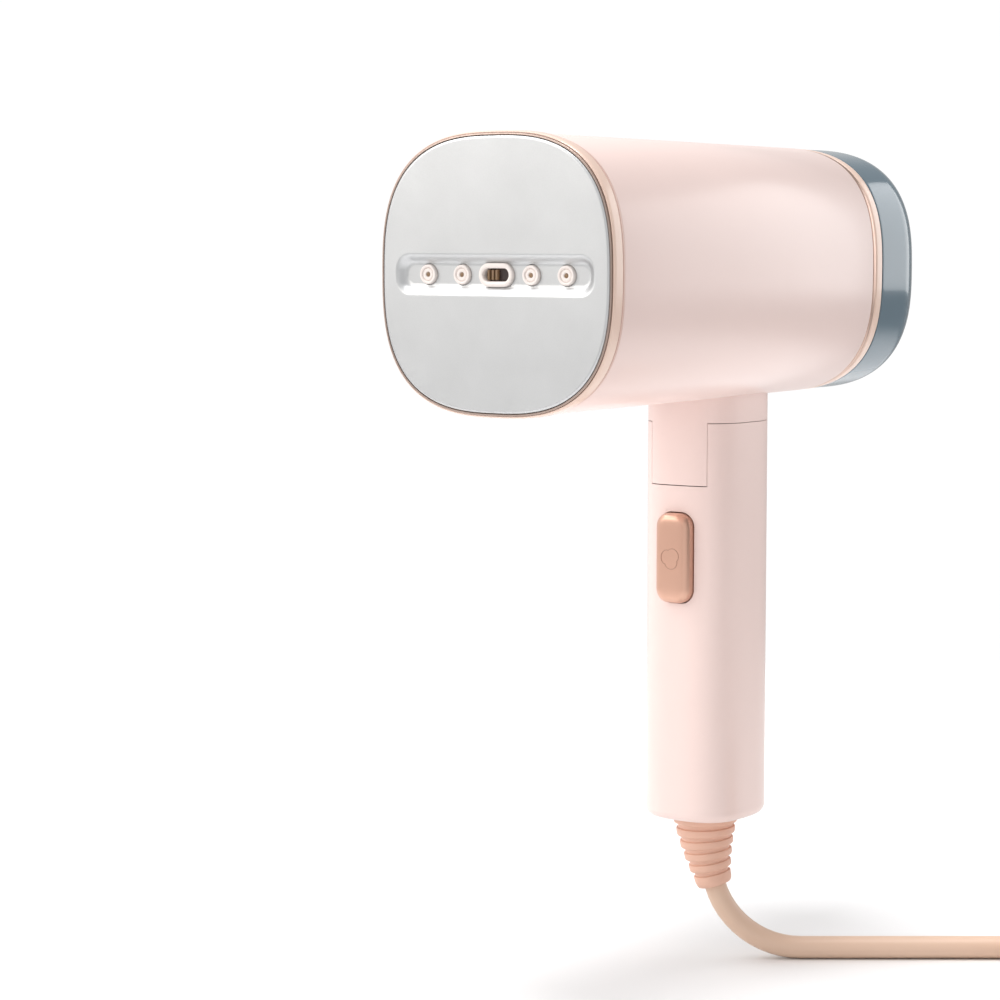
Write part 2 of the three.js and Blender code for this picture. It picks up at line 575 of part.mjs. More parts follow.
function handleShell(whole) {
  let body = whole.intersect(solid(box(-30, 30, -30, COVER_Y - GAP / 2, -80, 80)));
  for (const z of bridges) {
    const bar = solid(box(-20, 20, 9.5, COVER_Y - GAP / 2, z - 3.2, z + 3.2));
    body = body.add(bar.intersect(solid(handleColumn(innerR + 0.5, z - 5, z + 5))));
    body = body.subtract(solid(rod(1.4, 5, 30, 12).translate(0, 0, z)));
  }
  // The fixed half of the cord clamp.
  let seat = solid(box(-20, 20, -0.9, 3, CLAMP_Z - 3, CLAMP_Z + 3));
  seat = seat.intersect(solid(handleColumn(innerR + 0.5, CLAMP_Z - 5, CLAMP_Z + 5)));
  body = body.add(clampHoles(seat));
  for (const z of [-24, 24]) {
    // Shelves on the side walls that carry the board.
    for (const side of [-1, 1]) {
      const [near, far] = side < 0 ? [-20, -12] : [12, 20];
      const rib = solid(box(near, far, 4.2, 7.2, z - 2, z + 2));
      body = body.add(rib.intersect(solid(handleColumn(innerR + 0.5, z - 5, z + 5))));
    }
  }
  return body;
}

function backCover(whole) {
  let body = whole.intersect(solid(box(-30, 30, COVER_Y + GAP / 2, 30, -80, 80)));
  for (const z of bridges) {
    body = body.subtract(solid(rod(1.6, 5, 30, 12).translate(0, 0, z)));
    body = body.subtract(solid(rod(3.1, HANDLE_R - 1.1, 30, 16).translate(0, 0, z)));
  }
  return body;
}

const whole = wholeHandle();
piece(handle, "handle_shell", "shell", handleShell(whole));
piece(handle, "handle_back_cover", "shell", backCover(whole));
bridges.forEach((z, i) => {
  const shape = turned([[0, 0], [2.7, 0], [2.7, 0.7], [1.2, 0.7], [1.2, 8.5], [0, 8.5]], 16).rotateX(Math.PI);
  piece(handle, `cover_screw_${i + 1}`, "steel", shape, [0, HANDLE_R - 0.1, z]);
});

for (const side of [-1, 1]) {
  const name = side < 0 ? "left" : "right";
  const span = (near, far) => (side < 0 ? [-far, -near] : [near, far]);
  const place = [0, PIVOT_Y, PIVOT_Z];
  piece(handle, `hinge_pin_${name}`, "steel", alongX(rod(PIN_R, ...span(5.4, 14.3))), place);
  const washer = alongX(sleeve(PIN_R + 0.35, 6.6, ...span(10.1, 10.85)));
  piece(handle, `friction_washer_${name}`, "steel", washer, place);
}

function steamButton() {
  const frontY = -HANDLE_R - BUTTON_PROUD;
  let body = solid(pad(BUTTON_WIDE, BUTTON_TALL, 4.5, frontY, -14.6, 1.6));
  body = body.intersect(solid(box(-20, 20, frontY - 1, -16.5, -30, 30)));
  body = body.add(solid(pad(15, 32.4, 4.8, -15.6, -14.2))).add(solid(pad(12, 29, 4, -17, -15)));
  return body.add(solid(rod(2, -15, -9.5, 14)));
}
piece(handle, "steam_button", "button", steamButton(), [0, 0, BUTTON_Z]);
piece(handle, "button_spring", "steel", spring(3.3, 0.35, -13.9, -2.6, 4), [0, 0, BUTTON_Z]);
function microSwitch() {
  return solid(box(-6, 6, BOARD_Y - 4.3, BOARD_Y - GAP, -6, 6)).add(solid(rod(1.8, -7.3, -2, 14)));
}
piece(handle, "micro_switch", "dark", microSwitch(), [0, 0, BUTTON_Z]);
piece(handle, "control_board", "board", box(-12.5, 12.5, BOARD_Y, BOARD_Y + 1.8, -32, 36));
piece(handle, "power_relay", "dark", box(-6, 6, BOARD_Y + 1.8 + GAP, BOARD_Y + 10, -14, 6));

// ---- Cord entry ----

// Bends what hangs below the handle's foot towards the cord's way, which is +X here.
function leaned(geometry) {
  const place = geometry.attributes.position;
  const bend = BOOT_LONG / BOOT_LEAN;
  for (let i = 0; i < place.count; i++) {
    const [x, down] = [place.getX(i), BOOT_TOP - place.getZ(i)];
    if (down <= 0) continue;
    const lean = down / bend;
    place.setX(i, bend * (1 - Math.cos(lean)) + x * Math.cos(lean));
    place.setZ(i, BOOT_TOP - bend * Math.sin(lean) + x * Math.sin(lean));
  }
  return geometry;
}

// The ribbed boot: a flange inside the handle, a neck through its foot, and rings that grow smaller.
function cordBoot() {
  const bore = CORD_R + GAP;
  const [topR, endR, count] = [11.2, 6.7, 6];
  const ribs = [];
  const pitch = BOOT_LONG / count;
  for (let i = 0; i < count; i++) {
    const r = topR + ((endR - topR) * i) / (count - 1);
    const z = BOOT_TOP - i * pitch;
    ribs.push([r, z], [r, z - pitch * 0.62], [r - 1.5, z - pitch * 0.72], [r - 1.9, z - pitch]);
  }
  ribs[ribs.length - 1] = [endR - 1, BOOT_TOP - BOOT_LONG];
  ribs[ribs.length - 2] = [endR, BOOT_TOP - BOOT_LONG + 0.8];
  const flange = HANDLE_BOTTOM + HANDLE_WALL + GAP;
  const inside = [1, 2, 3, 4].map((i) => [bore, BOOT_TOP - BOOT_LONG * (1 - i / 4)]);
  return leaned(alongZ(turned([
    [bore, flange + 2], [10.5, flange + 2], [10.5, flange], [7.7, flange], [7.7, BOOT_TOP],
    ...ribs, [bore, BOOT_TOP - BOOT_LONG], ...inside, [bore, flange + 2],
  ], 22))).rotateZ(CORD_TURN);
}
piece(handle, "cord_boot", "rubber", cordBoot());
piece(handle, "cord_clamp", "inner",
  clampHoles(solid(box(-12.5, 12.5, -7.5, -1.2, CLAMP_Z - 3, CLAMP_Z + 3))));
for (const side of [-1, 1]) {
  const place = [side * CLAMP_SCREW, -9.8, CLAMP_Z];
  piece(handle, side < 0 ? "clamp_screw_left" : "clamp_screw_right", "steel", screw(2.6, 1.2, 12), place);
}

// ---- Cord, coil and plug ----

// The cord lies on the floor along the lead's own X axis.
const lieZ = FLOOR_Z + CORD_R;
const coilOuter = COIL_TURN_R + COIL_WIDE * CORD_R;
const coilInner = COIL_TURN_R - COIL_WIDE * CORD_R;
const coilTop = FLOOR_Z + COIL_HIGH * 2 * CORD_R;
const coilPlace = [COIL_ALONG, -(coilOuter - CORD_R), 0];
lead.rotation.z = CORD_TURN;

const aroundCoil = () =>
  solid(alongZ(rod(coilOuter + GAP, FLOOR_Z - 1, coilTop + 2, 48)).translate(...coilPlace));

function powerCord() {
  const inHandle = [-38, -48, -58, BOOT_TOP].map((z) => [0, 0, z]);
  const bend = BOOT_LONG / BOOT_LEAN;
  const inBoot = [1, 2, 3, 4].map((i) => {
    const lean = (BOOT_LEAN * i) / 4;
    return [bend * (1 - Math.cos(lean)), 0, BOOT_TOP - bend * Math.sin(lean)];
  });
  const [startX, , startZ] = inBoot[3];
  const r = (startZ - lieZ) / (1 - Math.sin(BOOT_LEAN));
  const down = [1, 2, 3, 4, 5, 6].map((i) => {
    const lean = BOOT_LEAN + ((Math.PI / 2 - BOOT_LEAN) * i) / 6;
    const fall = r * (Math.sin(lean) - Math.sin(BOOT_LEAN));
    return [startX + r * (Math.cos(BOOT_LEAN) - Math.cos(lean)), 0, startZ - fall];
  });
  const flat = [44, 60, 80, 100, 120, COIL_ALONG - 10].map((x) => [x, 0, lieZ]);
  return solid(tube([...inHandle, ...inBoot, ...down, ...flat], CORD_R, 0, 44, 10)).subtract(aroundCoil());
}
piece(lead, "power_cord", "cord", powerCord());
piece(lead, "cord_coil", "cord", alongZ(turned([
  [coilInner, FLOOR_Z], [coilOuter, FLOOR_Z], [coilOuter, coilTop], [coilInner, coilTop],
  [coilInner, FLOOR_Z],
], 32)), coilPlace);

// The tie is a flat band over one side of the coil.
function cordTie() {
  const outside = solid(box(-coilOuter - 1.6, 2.6 - coilInner, -5, 5, FLOOR_Z, coilTop + 1.6));
  return outside.subtract(solid(box(-coilOuter - GAP, 1.3 - coilInner, -8, 8, FLOOR_Z - 1, coilTop + GAP)));
}
piece(lead, "cord_tie", "seal", cordTie(), coilPlace);

// The last of the cord curls in over the coil, and the plug lies on it, pointing to -Y.
const CURL_R = 31;
const outerTurn = coilOuter - CORD_R;
const plugZ = coilTop + 6.9;
const coilMiddle = new THREE.Vector3(...coilPlace).applyAxisAngle(new THREE.Vector3(0, 0, 1), CORD_TURN);
const plug = new THREE.Group();
plug.position.set(coilMiddle.x + 2 * CURL_R - outerTurn, coilMiddle.y, plugZ);
plug.rotation.z = -Math.PI / 2;
steamer.add(plug);

function plugBody() {
  const outline = new THREE.Shape([[0, -4.5], [5, -7], [12, -12.5], [PLUG_LONG, -12.5], [PLUG_LONG, 12.5],
    [12, 12.5], [5, 7], [0, 4.5]].map(([x, y]) => new THREE.Vector2(x, y)));
  const slab = new THREE.ExtrudeGeometry(outline, {
    depth: 10, bevelEnabled: true, bevelThickness: 1.5, bevelSize: 1.2, bevelSegments: 2,
  });
  const body = solid(slab.translate(PLUG_AT, 0, -5));
  const curl = [0, 1, 2, 3, 4, 5, 6, 7, 8].map((i) => {
    const turn = (i / 8) * Math.PI;
    const rise = (i / 8) ** 2 * (3 - (2 * i) / 8);
    const up = (1 - rise) * (coilTop - CORD_R - plugZ);
    return [CURL_R * -Math.sin(turn), -CURL_R - CURL_R * Math.cos(turn), up];
  });
  const cord = solid(tube([...curl, [3, 0, 0], [PLUG_AT + 4, 0, 0]], CORD_R, 0, 28, 8));
  const coilHere = alongZ(sleeve(coilInner - GAP, coilOuter + GAP, -60, coilTop + GAP - plugZ, 48));
  const free = cord.subtract(solid(coilHere.translate(0, outerTurn - 2 * CURL_R, 0)));
  return body.add(free).subtract(pinHoles());
}

function pinHoles() {
  const end = PLUG_AT + PLUG_LONG;
  const hole = (side) => solid(alongX(rod(2.3, end - 8, end + 4, 16)).translate(0, side * 9.5, 0));
  return hole(-1).add(hole(1));
}
piece(plug, "plug_body", "cord", plugBody());
for (const side of [-1, 1]) {
  const start = PLUG_AT + PLUG_LONG - 7.7;
  const outline = [[0, start], [2, start], [2, start + 25.5], [1, start + 27], [0, start + 27]];
  const pin = alongX(turned(outline, 16));
  piece(plug, side < 0 ? "plug_pin_left" : "plug_pin_right", "steel", pin, [0, side * 9.5, 0]);
}

export default steamer;
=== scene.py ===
"""Looks of the foldable garment steamer: fine surfaces, materials, the cord, the camera and the lights.

The fine surfaces stand in for the CAD model's pieces and ride on its bodies. Sizes are written in
millimetres in the CAD model's frame, and become metres where a mesh is made. X is across, Y runs from the
steam plate to the tank, and Z is up.
"""
import json
import math

import bmesh
import bpy
from mathutils import Matrix, Vector


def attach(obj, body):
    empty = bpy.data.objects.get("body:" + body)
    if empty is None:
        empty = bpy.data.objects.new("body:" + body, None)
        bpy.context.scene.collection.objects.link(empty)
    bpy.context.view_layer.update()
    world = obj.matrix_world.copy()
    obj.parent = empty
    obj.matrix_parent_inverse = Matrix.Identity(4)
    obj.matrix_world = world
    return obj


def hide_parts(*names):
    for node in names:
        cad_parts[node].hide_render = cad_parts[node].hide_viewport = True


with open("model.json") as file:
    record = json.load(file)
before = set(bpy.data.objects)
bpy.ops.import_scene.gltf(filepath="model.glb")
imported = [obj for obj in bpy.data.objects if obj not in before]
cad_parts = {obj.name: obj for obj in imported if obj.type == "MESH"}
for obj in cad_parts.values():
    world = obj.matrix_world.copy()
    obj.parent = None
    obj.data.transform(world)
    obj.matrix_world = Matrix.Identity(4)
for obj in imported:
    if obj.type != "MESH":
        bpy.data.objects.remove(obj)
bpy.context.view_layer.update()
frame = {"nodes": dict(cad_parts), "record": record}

MM = 0.001

# The sizes that the CAD model is built from. Here is the head:
HEAD_Z = 117.5  # the height of its axis
HEAD_WIDE = 1.012  # its width, as a share of its height
HEAD_EXPONENT = 2.75  # of the superellipse that is its section
FACE_Y = -121.4
SHELL_FRONT_Y = -114.6
SHELL_REAR_Y = 36.8
SHELL_FRONT_R = 43.0
SHELL_REAR_R = 41.8
SHELL_WALL = 2.4
PLATE_R = 42.0
PLATE_REAR_Y = FACE_Y + 5.0
CHANNEL_DEEP = 2.2
CHANNEL_FLOOR_Y = FACE_Y + CHANNEL_DEEP
OUTLET_TIP_Y = CHANNEL_FLOOR_Y - 1.1
NOZZLE_PLACES = (-26.0, -13.0, 13.0, 26.0)
NOZZLE_R = 3.15
OUTLET_WIDE = 12.8
OUTLET_TALL = 7.3
OUTLET_CORNER = 3.6
REAR_LINE_LONG = 2.0

# The water tank:
TANK_FRONT_Y = 43.9
TANK_REAR_Y = 79.0
TANK_R = 41.5
TANK_ROUND = 20.0
TANK_WALL = 2.2
TANK_BOTTOM_Z = HEAD_Z - TANK_R
FILLER_Y = 56.0

# The handle, its hinge and its button:
HANDLE_R = 19.2
HANDLE_WIDE = 0.911
HANDLE_EXPONENT = 3
HANDLE_WALL = 2.4
SEAM_Z = 67.5
HANDLE_TOP = SEAM_Z - 0.2
HANDLE_BOTTOM = -67.0
COVER_Y = 14.8
PIVOT_Y = -9.0
PIVOT_Z = 57.0
LUG_HALF = 10.8
LUG_REAR_Y = 3.7
LUG_BOTTOM_Z = 46.7
LUG_SWEEP = 14.55  # from the pivot to the lug's rounded lower corner
SWEEP_GAP = 0.2  # between the hinge's parts where they swing past each other
PIN_R = 3.5
PIN_GAP = 0.3
BUTTON_Z = 22.4
BUTTON_WIDE = 13.0
BUTTON_TALL = 30.0
BUTTON_PROUD = 3.8
BUTTON_CORNER = 4.5
COVER_SCREW_PLACES = (-50.0, 33.0)

# The cord, its boot, its coil on the floor and its plug:
CORD_R = 3.8
BOOT_TOP = HANDLE_BOTTOM - 0.3
BOOT_LONG = 24.4
BOOT_LEAN = 0.28
FLOOR_Z = -117.5
LIE_Z = FLOOR_Z + CORD_R
CORD_TURN = math.pi * 0.203  # from X towards Y, seen from above
COIL_ALONG = 152.0
COIL_TURN_R = 38.0
COIL_OUTER_R = COIL_TURN_R + CORD_R
COIL_TOP = FLOOR_Z + 8 * CORD_R
CURL_R = 31.0
PLUG_AT = 4.0
PLUG_LONG = 34.0
PLUG_Z = COIL_TOP + 6.9
PIN_SPREAD = 9.5
PIN_LONG = 25.2

# How finely the surfaces are made:
ROUND_STEPS = 192  # corners of a large round surface
SHARP = 38.0  # degrees: an edge that turns by more than this stays sharp
CLEAR = 30.0  # further from the handle's axis than the handle reaches, for the boxes that cut it


# ---- Materials ----

NOISE_RANGE = (0.3, 0.7)  # most of a noise texture lies between these values


def shader(name, color, roughness, metallic=0.0, coat=0.0, coat_rough=0.1):
    """A Principled material with its uniform values set, and its nodes for the caller to add to."""
    material = bpy.data.materials.new(name)
    material.use_nodes = True
    nodes = material.node_tree.nodes
    surface = nodes["Principled BSDF"]
    surface.inputs["Base Color"].default_value = (*color, 1.0)
    surface.inputs["Roughness"].default_value = roughness
    surface.inputs["Metallic"].default_value = metallic
    surface.inputs["Coat Weight"].default_value = coat
    surface.inputs["Coat Roughness"].default_value = coat_rough
    return material, nodes, material.node_tree.links, surface


def noise(nodes, links, scale, detail=3.0):
    """Noise in the piece's own frame. scale is in features per metre."""
    place = nodes.new("ShaderNodeTexCoord")
    texture = nodes.new("ShaderNodeTexNoise")
    texture.inputs["Scale"].default_value = scale
    texture.inputs["Detail"].default_value = detail
    links.new(place.outputs["Object"], texture.inputs["Vector"])
    return texture.outputs["Fac"]


def vary_color(nodes, links, surface, color, spread, scale):
    """Lets the colour drift a little over the surface, darker and lighter by the share spread."""
    low = [c * (1 - spread) for c in color]
    high = [min(c * (1 + spread), 1.0) for c in color]
    ramp = nodes.new("ShaderNodeValToRGB")
    for element, position, shade in zip(ramp.color_ramp.elements, NOISE_RANGE, (low, high)):
        element.position = position
        element.color = (*shade, 1.0)
    links.new(noise(nodes, links, scale), ramp.inputs["Fac"])
    links.new(ramp.outputs["Color"], surface.inputs["Base Color"])


def vary_roughness(nodes, links, surface, low, high, scale):
    """Lets the gloss drift between two roughnesses."""
    span = nodes.new("ShaderNodeMapRange")
    span.inputs["From Min"].default_value = NOISE_RANGE[0]
    span.inputs["From Max"].default_value = NOISE_RANGE[1]
    span.inputs["To Min"].default_value = low
    span.inputs["To Max"].default_value = high
    links.new(noise(nodes, links, scale), span.inputs["Value"])
    links.new(span.outputs["Result"], surface.inputs["Roughness"])


def add_bump(nodes, links, surface, scale, strength, height):
    """A fine uneven skin. height is in metres."""
    bump = nodes.new("ShaderNodeBump")
    bump.inputs["Strength"].default_value = strength
    bump.inputs["Distance"].default_value = height
    links.new(noise(nodes, links, scale, detail=2.0), bump.inputs["Height"])
    links.new(bump.outputs["Normal"], surface.inputs["Normal"])


def moulded(name, color, roughness, coat=0.0, coat_rough=0.12, spread=0.012, grain=2600.0, strength=0.05,
            metallic=0.0):
    """Moulded or lacquered plastic: a slow drift of colour, uneven gloss and a fine orange-peel skin."""
    material, nodes, links, surface = shader(name, color, roughness, metallic, coat, coat_rough)
    vary_color(nodes, links, surface, color, spread, scale=24.0)
    vary_roughness(nodes, links, surface, roughness * 0.97, roughness * 1.04, scale=70.0)
    add_bump(nodes, links, surface, grain, strength, height=0.00005)
    return material


def worked_metal(name, color, roughness, grain, strength):
    """Turned, plated or cast metal: a slow drift of colour, and a grain in its gloss and its skin."""
    material, nodes, links, surface = shader(name, color, roughness, metallic=1.0)
    vary_color(nodes, links, surface, color, spread=0.03, scale=60.0)
    vary_roughness(nodes, links, surface, roughness * 0.85, roughness * 1.2, scale=grain)
    add_bump(nodes, links, surface, grain, strength, height=0.00004)
    return material


# The record's material slots, with some more for fine pieces.
MATERIALS = {
    "shell": moulded("lacquered_shell", (0.86, 0.68, 0.635), 0.36, coat=0.35, coat_rough=0.2, spread=0.008),
    "bezel": moulded("cream_rose_band", (0.82, 0.61, 0.51), 0.3, coat=0.4, coat_rough=0.14, spread=0.008),
    # Darker rose: painted shade for the seam between the bezel band and the shell.
    "bezel_shade_line": moulded("rose_painted_seam_shade", (0.68, 0.47, 0.41), 0.4),
    "rose_trim": worked_metal("rose_gold_plating", (0.60, 0.43, 0.36), 0.36, grain=1400.0, strength=0.04),
    "sole_line": worked_metal("brown_rose_plating", (0.40, 0.31, 0.27), 0.40, grain=1400.0, strength=0.04),
    "button": moulded("rose_gold_button", (0.66, 0.39, 0.29), 0.32, coat=0.2, coat_rough=0.18, spread=0.02,
                      metallic=0.65),
    "plate": worked_metal("satin_soleplate", (0.58, 0.585, 0.59), 0.42, grain=2200.0, strength=0.05),
    "insert": moulded("cream_outlet", (0.85, 0.77, 0.73), 0.34, coat=0.2),
    "tank": moulded("smoky_tank", (0.125, 0.18, 0.22), 0.16, coat=0.45, coat_rough=0.06, spread=0.04,
                    strength=0.02),
    "clear": moulded("silicone_hose", (0.72, 0.74, 0.75), 0.3, spread=0.03),
    "rubber": moulded("rose_rubber", (0.74, 0.45, 0.34), 0.5, spread=0.02, grain=3800.0, strength=0.12),
    "seal": moulded("black_rubber", (0.02, 0.02, 0.022), 0.6, spread=0.2, grain=3200.0, strength=0.15),
    "inner": moulded("plain_moulding", (0.72, 0.70, 0.67), 0.45, spread=0.03, strength=0.12),
    "casting": worked_metal("cast_aluminium", (0.55, 0.56, 0.57), 0.5, grain=1500.0, strength=0.25),
    "steel": worked_metal("turned_steel", (0.60, 0.61, 0.62), 0.26, grain=1800.0, strength=0.06),
    "board": moulded("solder_mask", (0.02, 0.14, 0.06), 0.3, spread=0.15, strength=0.1),
    "dark": moulded("black_moulding", (0.025, 0.026, 0.03), 0.42, spread=0.2, strength=0.15),
    "cord": moulded("rose_cord_sheath", (0.70, 0.50, 0.38), 0.42, spread=0.02, grain=3000.0, strength=0.1),
    # Near black: painted shade for the depth of the steam slot.
    "slot_shade": moulded("painted_slot_shade", (0.03, 0.015, 0.012), 0.5, spread=0.1),
    "outlet_core": moulded("brown_steam_core", (0.25, 0.15, 0.08), 0.4, spread=0.1),
    "mark": moulded("button_mark", (0.46, 0.26, 0.19), 0.45, spread=0.05),
}


# ---- Building blocks ----

def add_object(name, data):
    """A new object with that data, in the scene."""
    made = bpy.data.objects.new(name, data)
    bpy.context.scene.collection.objects.link(made)
    return made


def smooth_over(mesh, sharp):
    """Smooth shading, except over edges that turn by more than sharp degrees."""
    for face in mesh.polygons:
        face.use_smooth = True
    mesh.set_sharp_from_angle(angle=math.radians(sharp))


def from_points(name, points, faces, material, sharp=SHARP):
    """A mesh object with those corners and faces, the faces turned outwards."""
    mesh = bpy.data.meshes.new(name)
    mesh.from_pydata([Vector(point) * MM for point in points], [], faces)
    build = bmesh.new()
    build.from_mesh(mesh)
    bmesh.ops.recalc_face_normals(build, faces=build.faces)
    build.to_mesh(mesh)
    build.free()
    smooth_over(mesh, sharp)
    mesh.materials.append(MATERIALS[material])
    return add_object(name, mesh)


def round_line(name, points, radius, material, around, closed=False):
    """A round line through the points. The higher around is, the more corners its section has."""
    curve = bpy.data.curves.new(name, "CURVE")
    curve.dimensions = "3D"
    curve.bevel_depth = radius * MM
    curve.bevel_resolution = around
    curve.use_fill_caps = not closed
    spline = curve.splines.new("POLY")
    spline.points.add(len(points) - 1)
    for corner, point in zip(spline.points, points):
        corner.co = (*(Vector(point) * MM), 1.0)
    spline.use_cyclic_u = closed
    curve.materials.append(MATERIALS[material])
    return add_object(name, curve)


def softened(outline):
    """Rounds an outline's corners. Its points are (a, b) or (a, b, radius), and its two ends stay sharp."""
    made = []
    last = len(outline) - 1
    for i, corner in enumerate(outline):
        here = Vector(corner[:2])
        radius = corner[2] if len(corner) > 2 else 0.0
        if radius == 0.0 or i in (0, last):
            made.append(here)
            continue
        before = (Vector(outline[i - 1][:2]) - here).normalized()
        after = (Vector(outline[i + 1][:2]) - here).normalized()
        half = before.angle(after) / 2
        reach = radius / math.tan(half)
        centre = here + (before + after).normalized() * (radius / math.sin(half))
        start = here + before * reach - centre
        end = here + after * reach - centre
        steps = max(2, min(8, round(radius * 3)))
        made.extend(centre + start.slerp(end, j / steps).normalized() * radius for j in range(steps + 1))
    return made


def superellipse(turn, exponent):
    """Across and up on a superellipse that reaches 1 along both axes."""
    across, up = math.cos(turn), math.sin(turn)
    reach = (abs(across) ** exponent + abs(up) ** exponent) ** (-1 / exponent)
    return reach * across, reach * up


def head_place(r, turn, along):
    """A point of the head's section at that Y."""
    across, up = superellipse(turn, HEAD_EXPONENT)
    return r * across * HEAD_WIDE, along, HEAD_Z + r * up


def handle_place(r, turn, along):
    """A point of the handle's section at that Z."""
    across, deep = superellipse(turn, HANDLE_EXPONENT)
    return r * across * HANDLE_WIDE, r * deep, along


# Places for turned() round an axis along Y, X or Z, through a point.

def round_about_y(x, z):
    return lambda r, turn, along: (x + r * math.cos(turn), along, z + r * math.sin(turn))


def round_about_x(y, z):
    return lambda r, turn, along: (along, y + r * math.cos(turn), z + r * math.sin(turn))


def round_about_z(x, y):
    return lambda r, turn, along: (x + r * math.cos(turn), y + r * math.sin(turn), along)


def turned(name, profile, place, material, steps=ROUND_STEPS):
    """Turns a profile of (r, along, rounding) about an axis. It closes on itself or ends on the axis."""
    points, rings, faces = [], [], []
    for r, along in softened(profile):
        if r < 1e-6:
            rings.append([len(points)])
            points.append(place(0.0, 0.0, along))
            continue
        rings.append([len(points) + i for i in range(steps)])
        points.extend(place(r, 2 * math.pi * i / steps, along) for i in range(steps))
    pairs = list(zip(rings, rings[1:]))
    if len(rings[0]) > 1:
        pairs.append((rings[-1], rings[0]))
    for low, high in pairs:
        if len(low) == len(high) == 1:
            continue
        if len(low) == 1 or len(high) == 1:
            faces.append(max(low, high, key=len))
            continue
        for i in range(steps):
            j = (i + 1) % steps
            faces.append([low[i], low[j], high[j], high[i]])
    # A flat end is one face, so the point in its middle goes.
    used = sorted({index for face in faces for index in face})
    renumbered = {old: new for new, old in enumerate(used)}
    faces = [[renumbered[index] for index in face] for face in faces]
    return from_points(name, [points[old] for old in used], faces, material)


def rod(place, r, start, end, steps):
    """A plain round solid to cut with, from start to end along its axis."""
    profile = [(0.0, start), (r, start), (r, end), (0.0, end)]
    return turned("cutter", profile, place, "inner", steps)


def bands(rings, count, closed=False):
    """Faces between each ring of count corners and the next, and back to the first ring if closed."""
    faces = []
    for level in range(rings if closed else rings - 1):
        low, high = level * count, (level + 1) % rings * count
        for i in range(count):
            j = (i + 1) % count
            faces.append([low + i, low + j, high + j, high + i])
    return faces


def stacked(name, rings, material, sharp):
    """A skin over rings that have the same number of points, with a flat cap at each end."""
    count = len(rings[0])
    points = [point for ring in rings for point in ring]
    faces = bands(len(rings), count)
    faces.append(list(range(count)))
    faces.append(list(range((len(rings) - 1) * count, len(rings) * count)))
    return from_points(name, points, faces, material, sharp)


def rounded_box_ring(wide, tall, corner, steps=8):
    """Corner-rounded rectangle as (a, b) points about the origin."""
    ring = []
    corner = min(corner, wide / 2 - 0.01, tall / 2 - 0.01)
    for quarter in range(4):
        a = (wide / 2 - corner) * (1 if quarter in (0, 3) else -1)
        b = (tall / 2 - corner) * (1 if quarter in (0, 1) else -1)
        for i in range(steps + 1):
            turn = (quarter + i / steps) * math.pi / 2
            ring.append((a + corner * math.cos(turn), b + corner * math.sin(turn)))
    return ring


def padded_block(name, x, z, levels, material, steps=8, sharp=SHARP):
    """Rounded rectangles stacked along Y. A level is (y, width, height, corner)."""
    rings = []
    for y, wide, tall, corner in levels:
        rings.append([(x + a, y, z + b) for a, b in rounded_box_ring(wide, tall, corner, steps)])
    return stacked(name, rings, material, sharp)


def box_solid(x0, x1, y0, y1, z0, z1):
    """A box to cut with."""
    corners = [(x, y, z) for x in (x0, x1) for y in (y0, y1) for z in (z0, z1)]
    faces = [(0, 1, 3, 2), (4, 6, 7, 5), (0, 4, 5, 1), (2, 3, 7, 6), (0, 2, 6, 4), (1, 5, 7, 3)]
    return from_points("cutter", corners, faces, "inner")


def side_prism(outline, half):
    """A solid to cut with: an outline of (y, z) points, from x = -half to half."""
    count = len(outline)
    points = [(x, y, z) for x in (-half, half) for y, z in outline]
    faces = bands(2, count) + [list(range(count)), list(range(count, 2 * count))]
    return from_points("cutter", points, faces, "inner")


def settle(target):
    """Applies the object's modifiers to its mesh."""
    graph = bpy.context.evaluated_depsgraph_get()
    mesh = bpy.data.meshes.new_from_object(target.evaluated_get(graph))
    target.modifiers.clear()
    target.data = mesh


def cut(target, cutter):
    """Cuts the cutter out of the target, and removes it."""
    modifier = target.modifiers.new("cut", "BOOLEAN")
    modifier.operation = "DIFFERENCE"
    modifier.solver = "EXACT"
    modifier.object = cutter
    settle(target)
    bpy.data.objects.remove(cutter)


def ease(target, width):
    """Breaks the sharp edges that cutting leaves, and keeps flat faces flat."""
    bevel = target.modifiers.new("edges", "BEVEL")
    bevel.width = width * MM
    bevel.segments = 2
    bevel.limit_method = "ANGLE"
    bevel.angle_limit = math.radians(40)
    bevel.miter_outer = "MITER_ARC"
    settle(target)
    smooth_over(target.data, 50)
    flatten(target)


def flatten(target):
    """Shades each vertex mostly by its largest faces, so that broad faces stay even."""
    weights = target.modifiers.new("normals", "WEIGHTED_NORMAL")
    weights.keep_sharp = True
    weights.weight = 80
    settle(target)


def fit(piece, body, nodes=()):
    """The piece rides on a body and stands for CAD nodes, which are hidden."""
    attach(piece, body)
    if nodes:
        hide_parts(*nodes)


# ---- Head ----

def make_head_shell():
    # The ring in the middle halves the long faces.
    middle = ((SHELL_FRONT_R + SHELL_REAR_R) / 2, (SHELL_FRONT_Y + SHELL_REAR_Y) / 2)
    profile = [
        (SHELL_FRONT_R - SHELL_WALL, SHELL_FRONT_Y),
        (SHELL_FRONT_R, SHELL_FRONT_Y, 0.7),
        middle,
        (SHELL_REAR_R, SHELL_REAR_Y, 0.6),
        (SHELL_REAR_R - SHELL_WALL, SHELL_REAR_Y),
    ]
    shell = turned("head_skin", profile, head_place, "shell")
    fit(shell, "head", ("head_shell",))


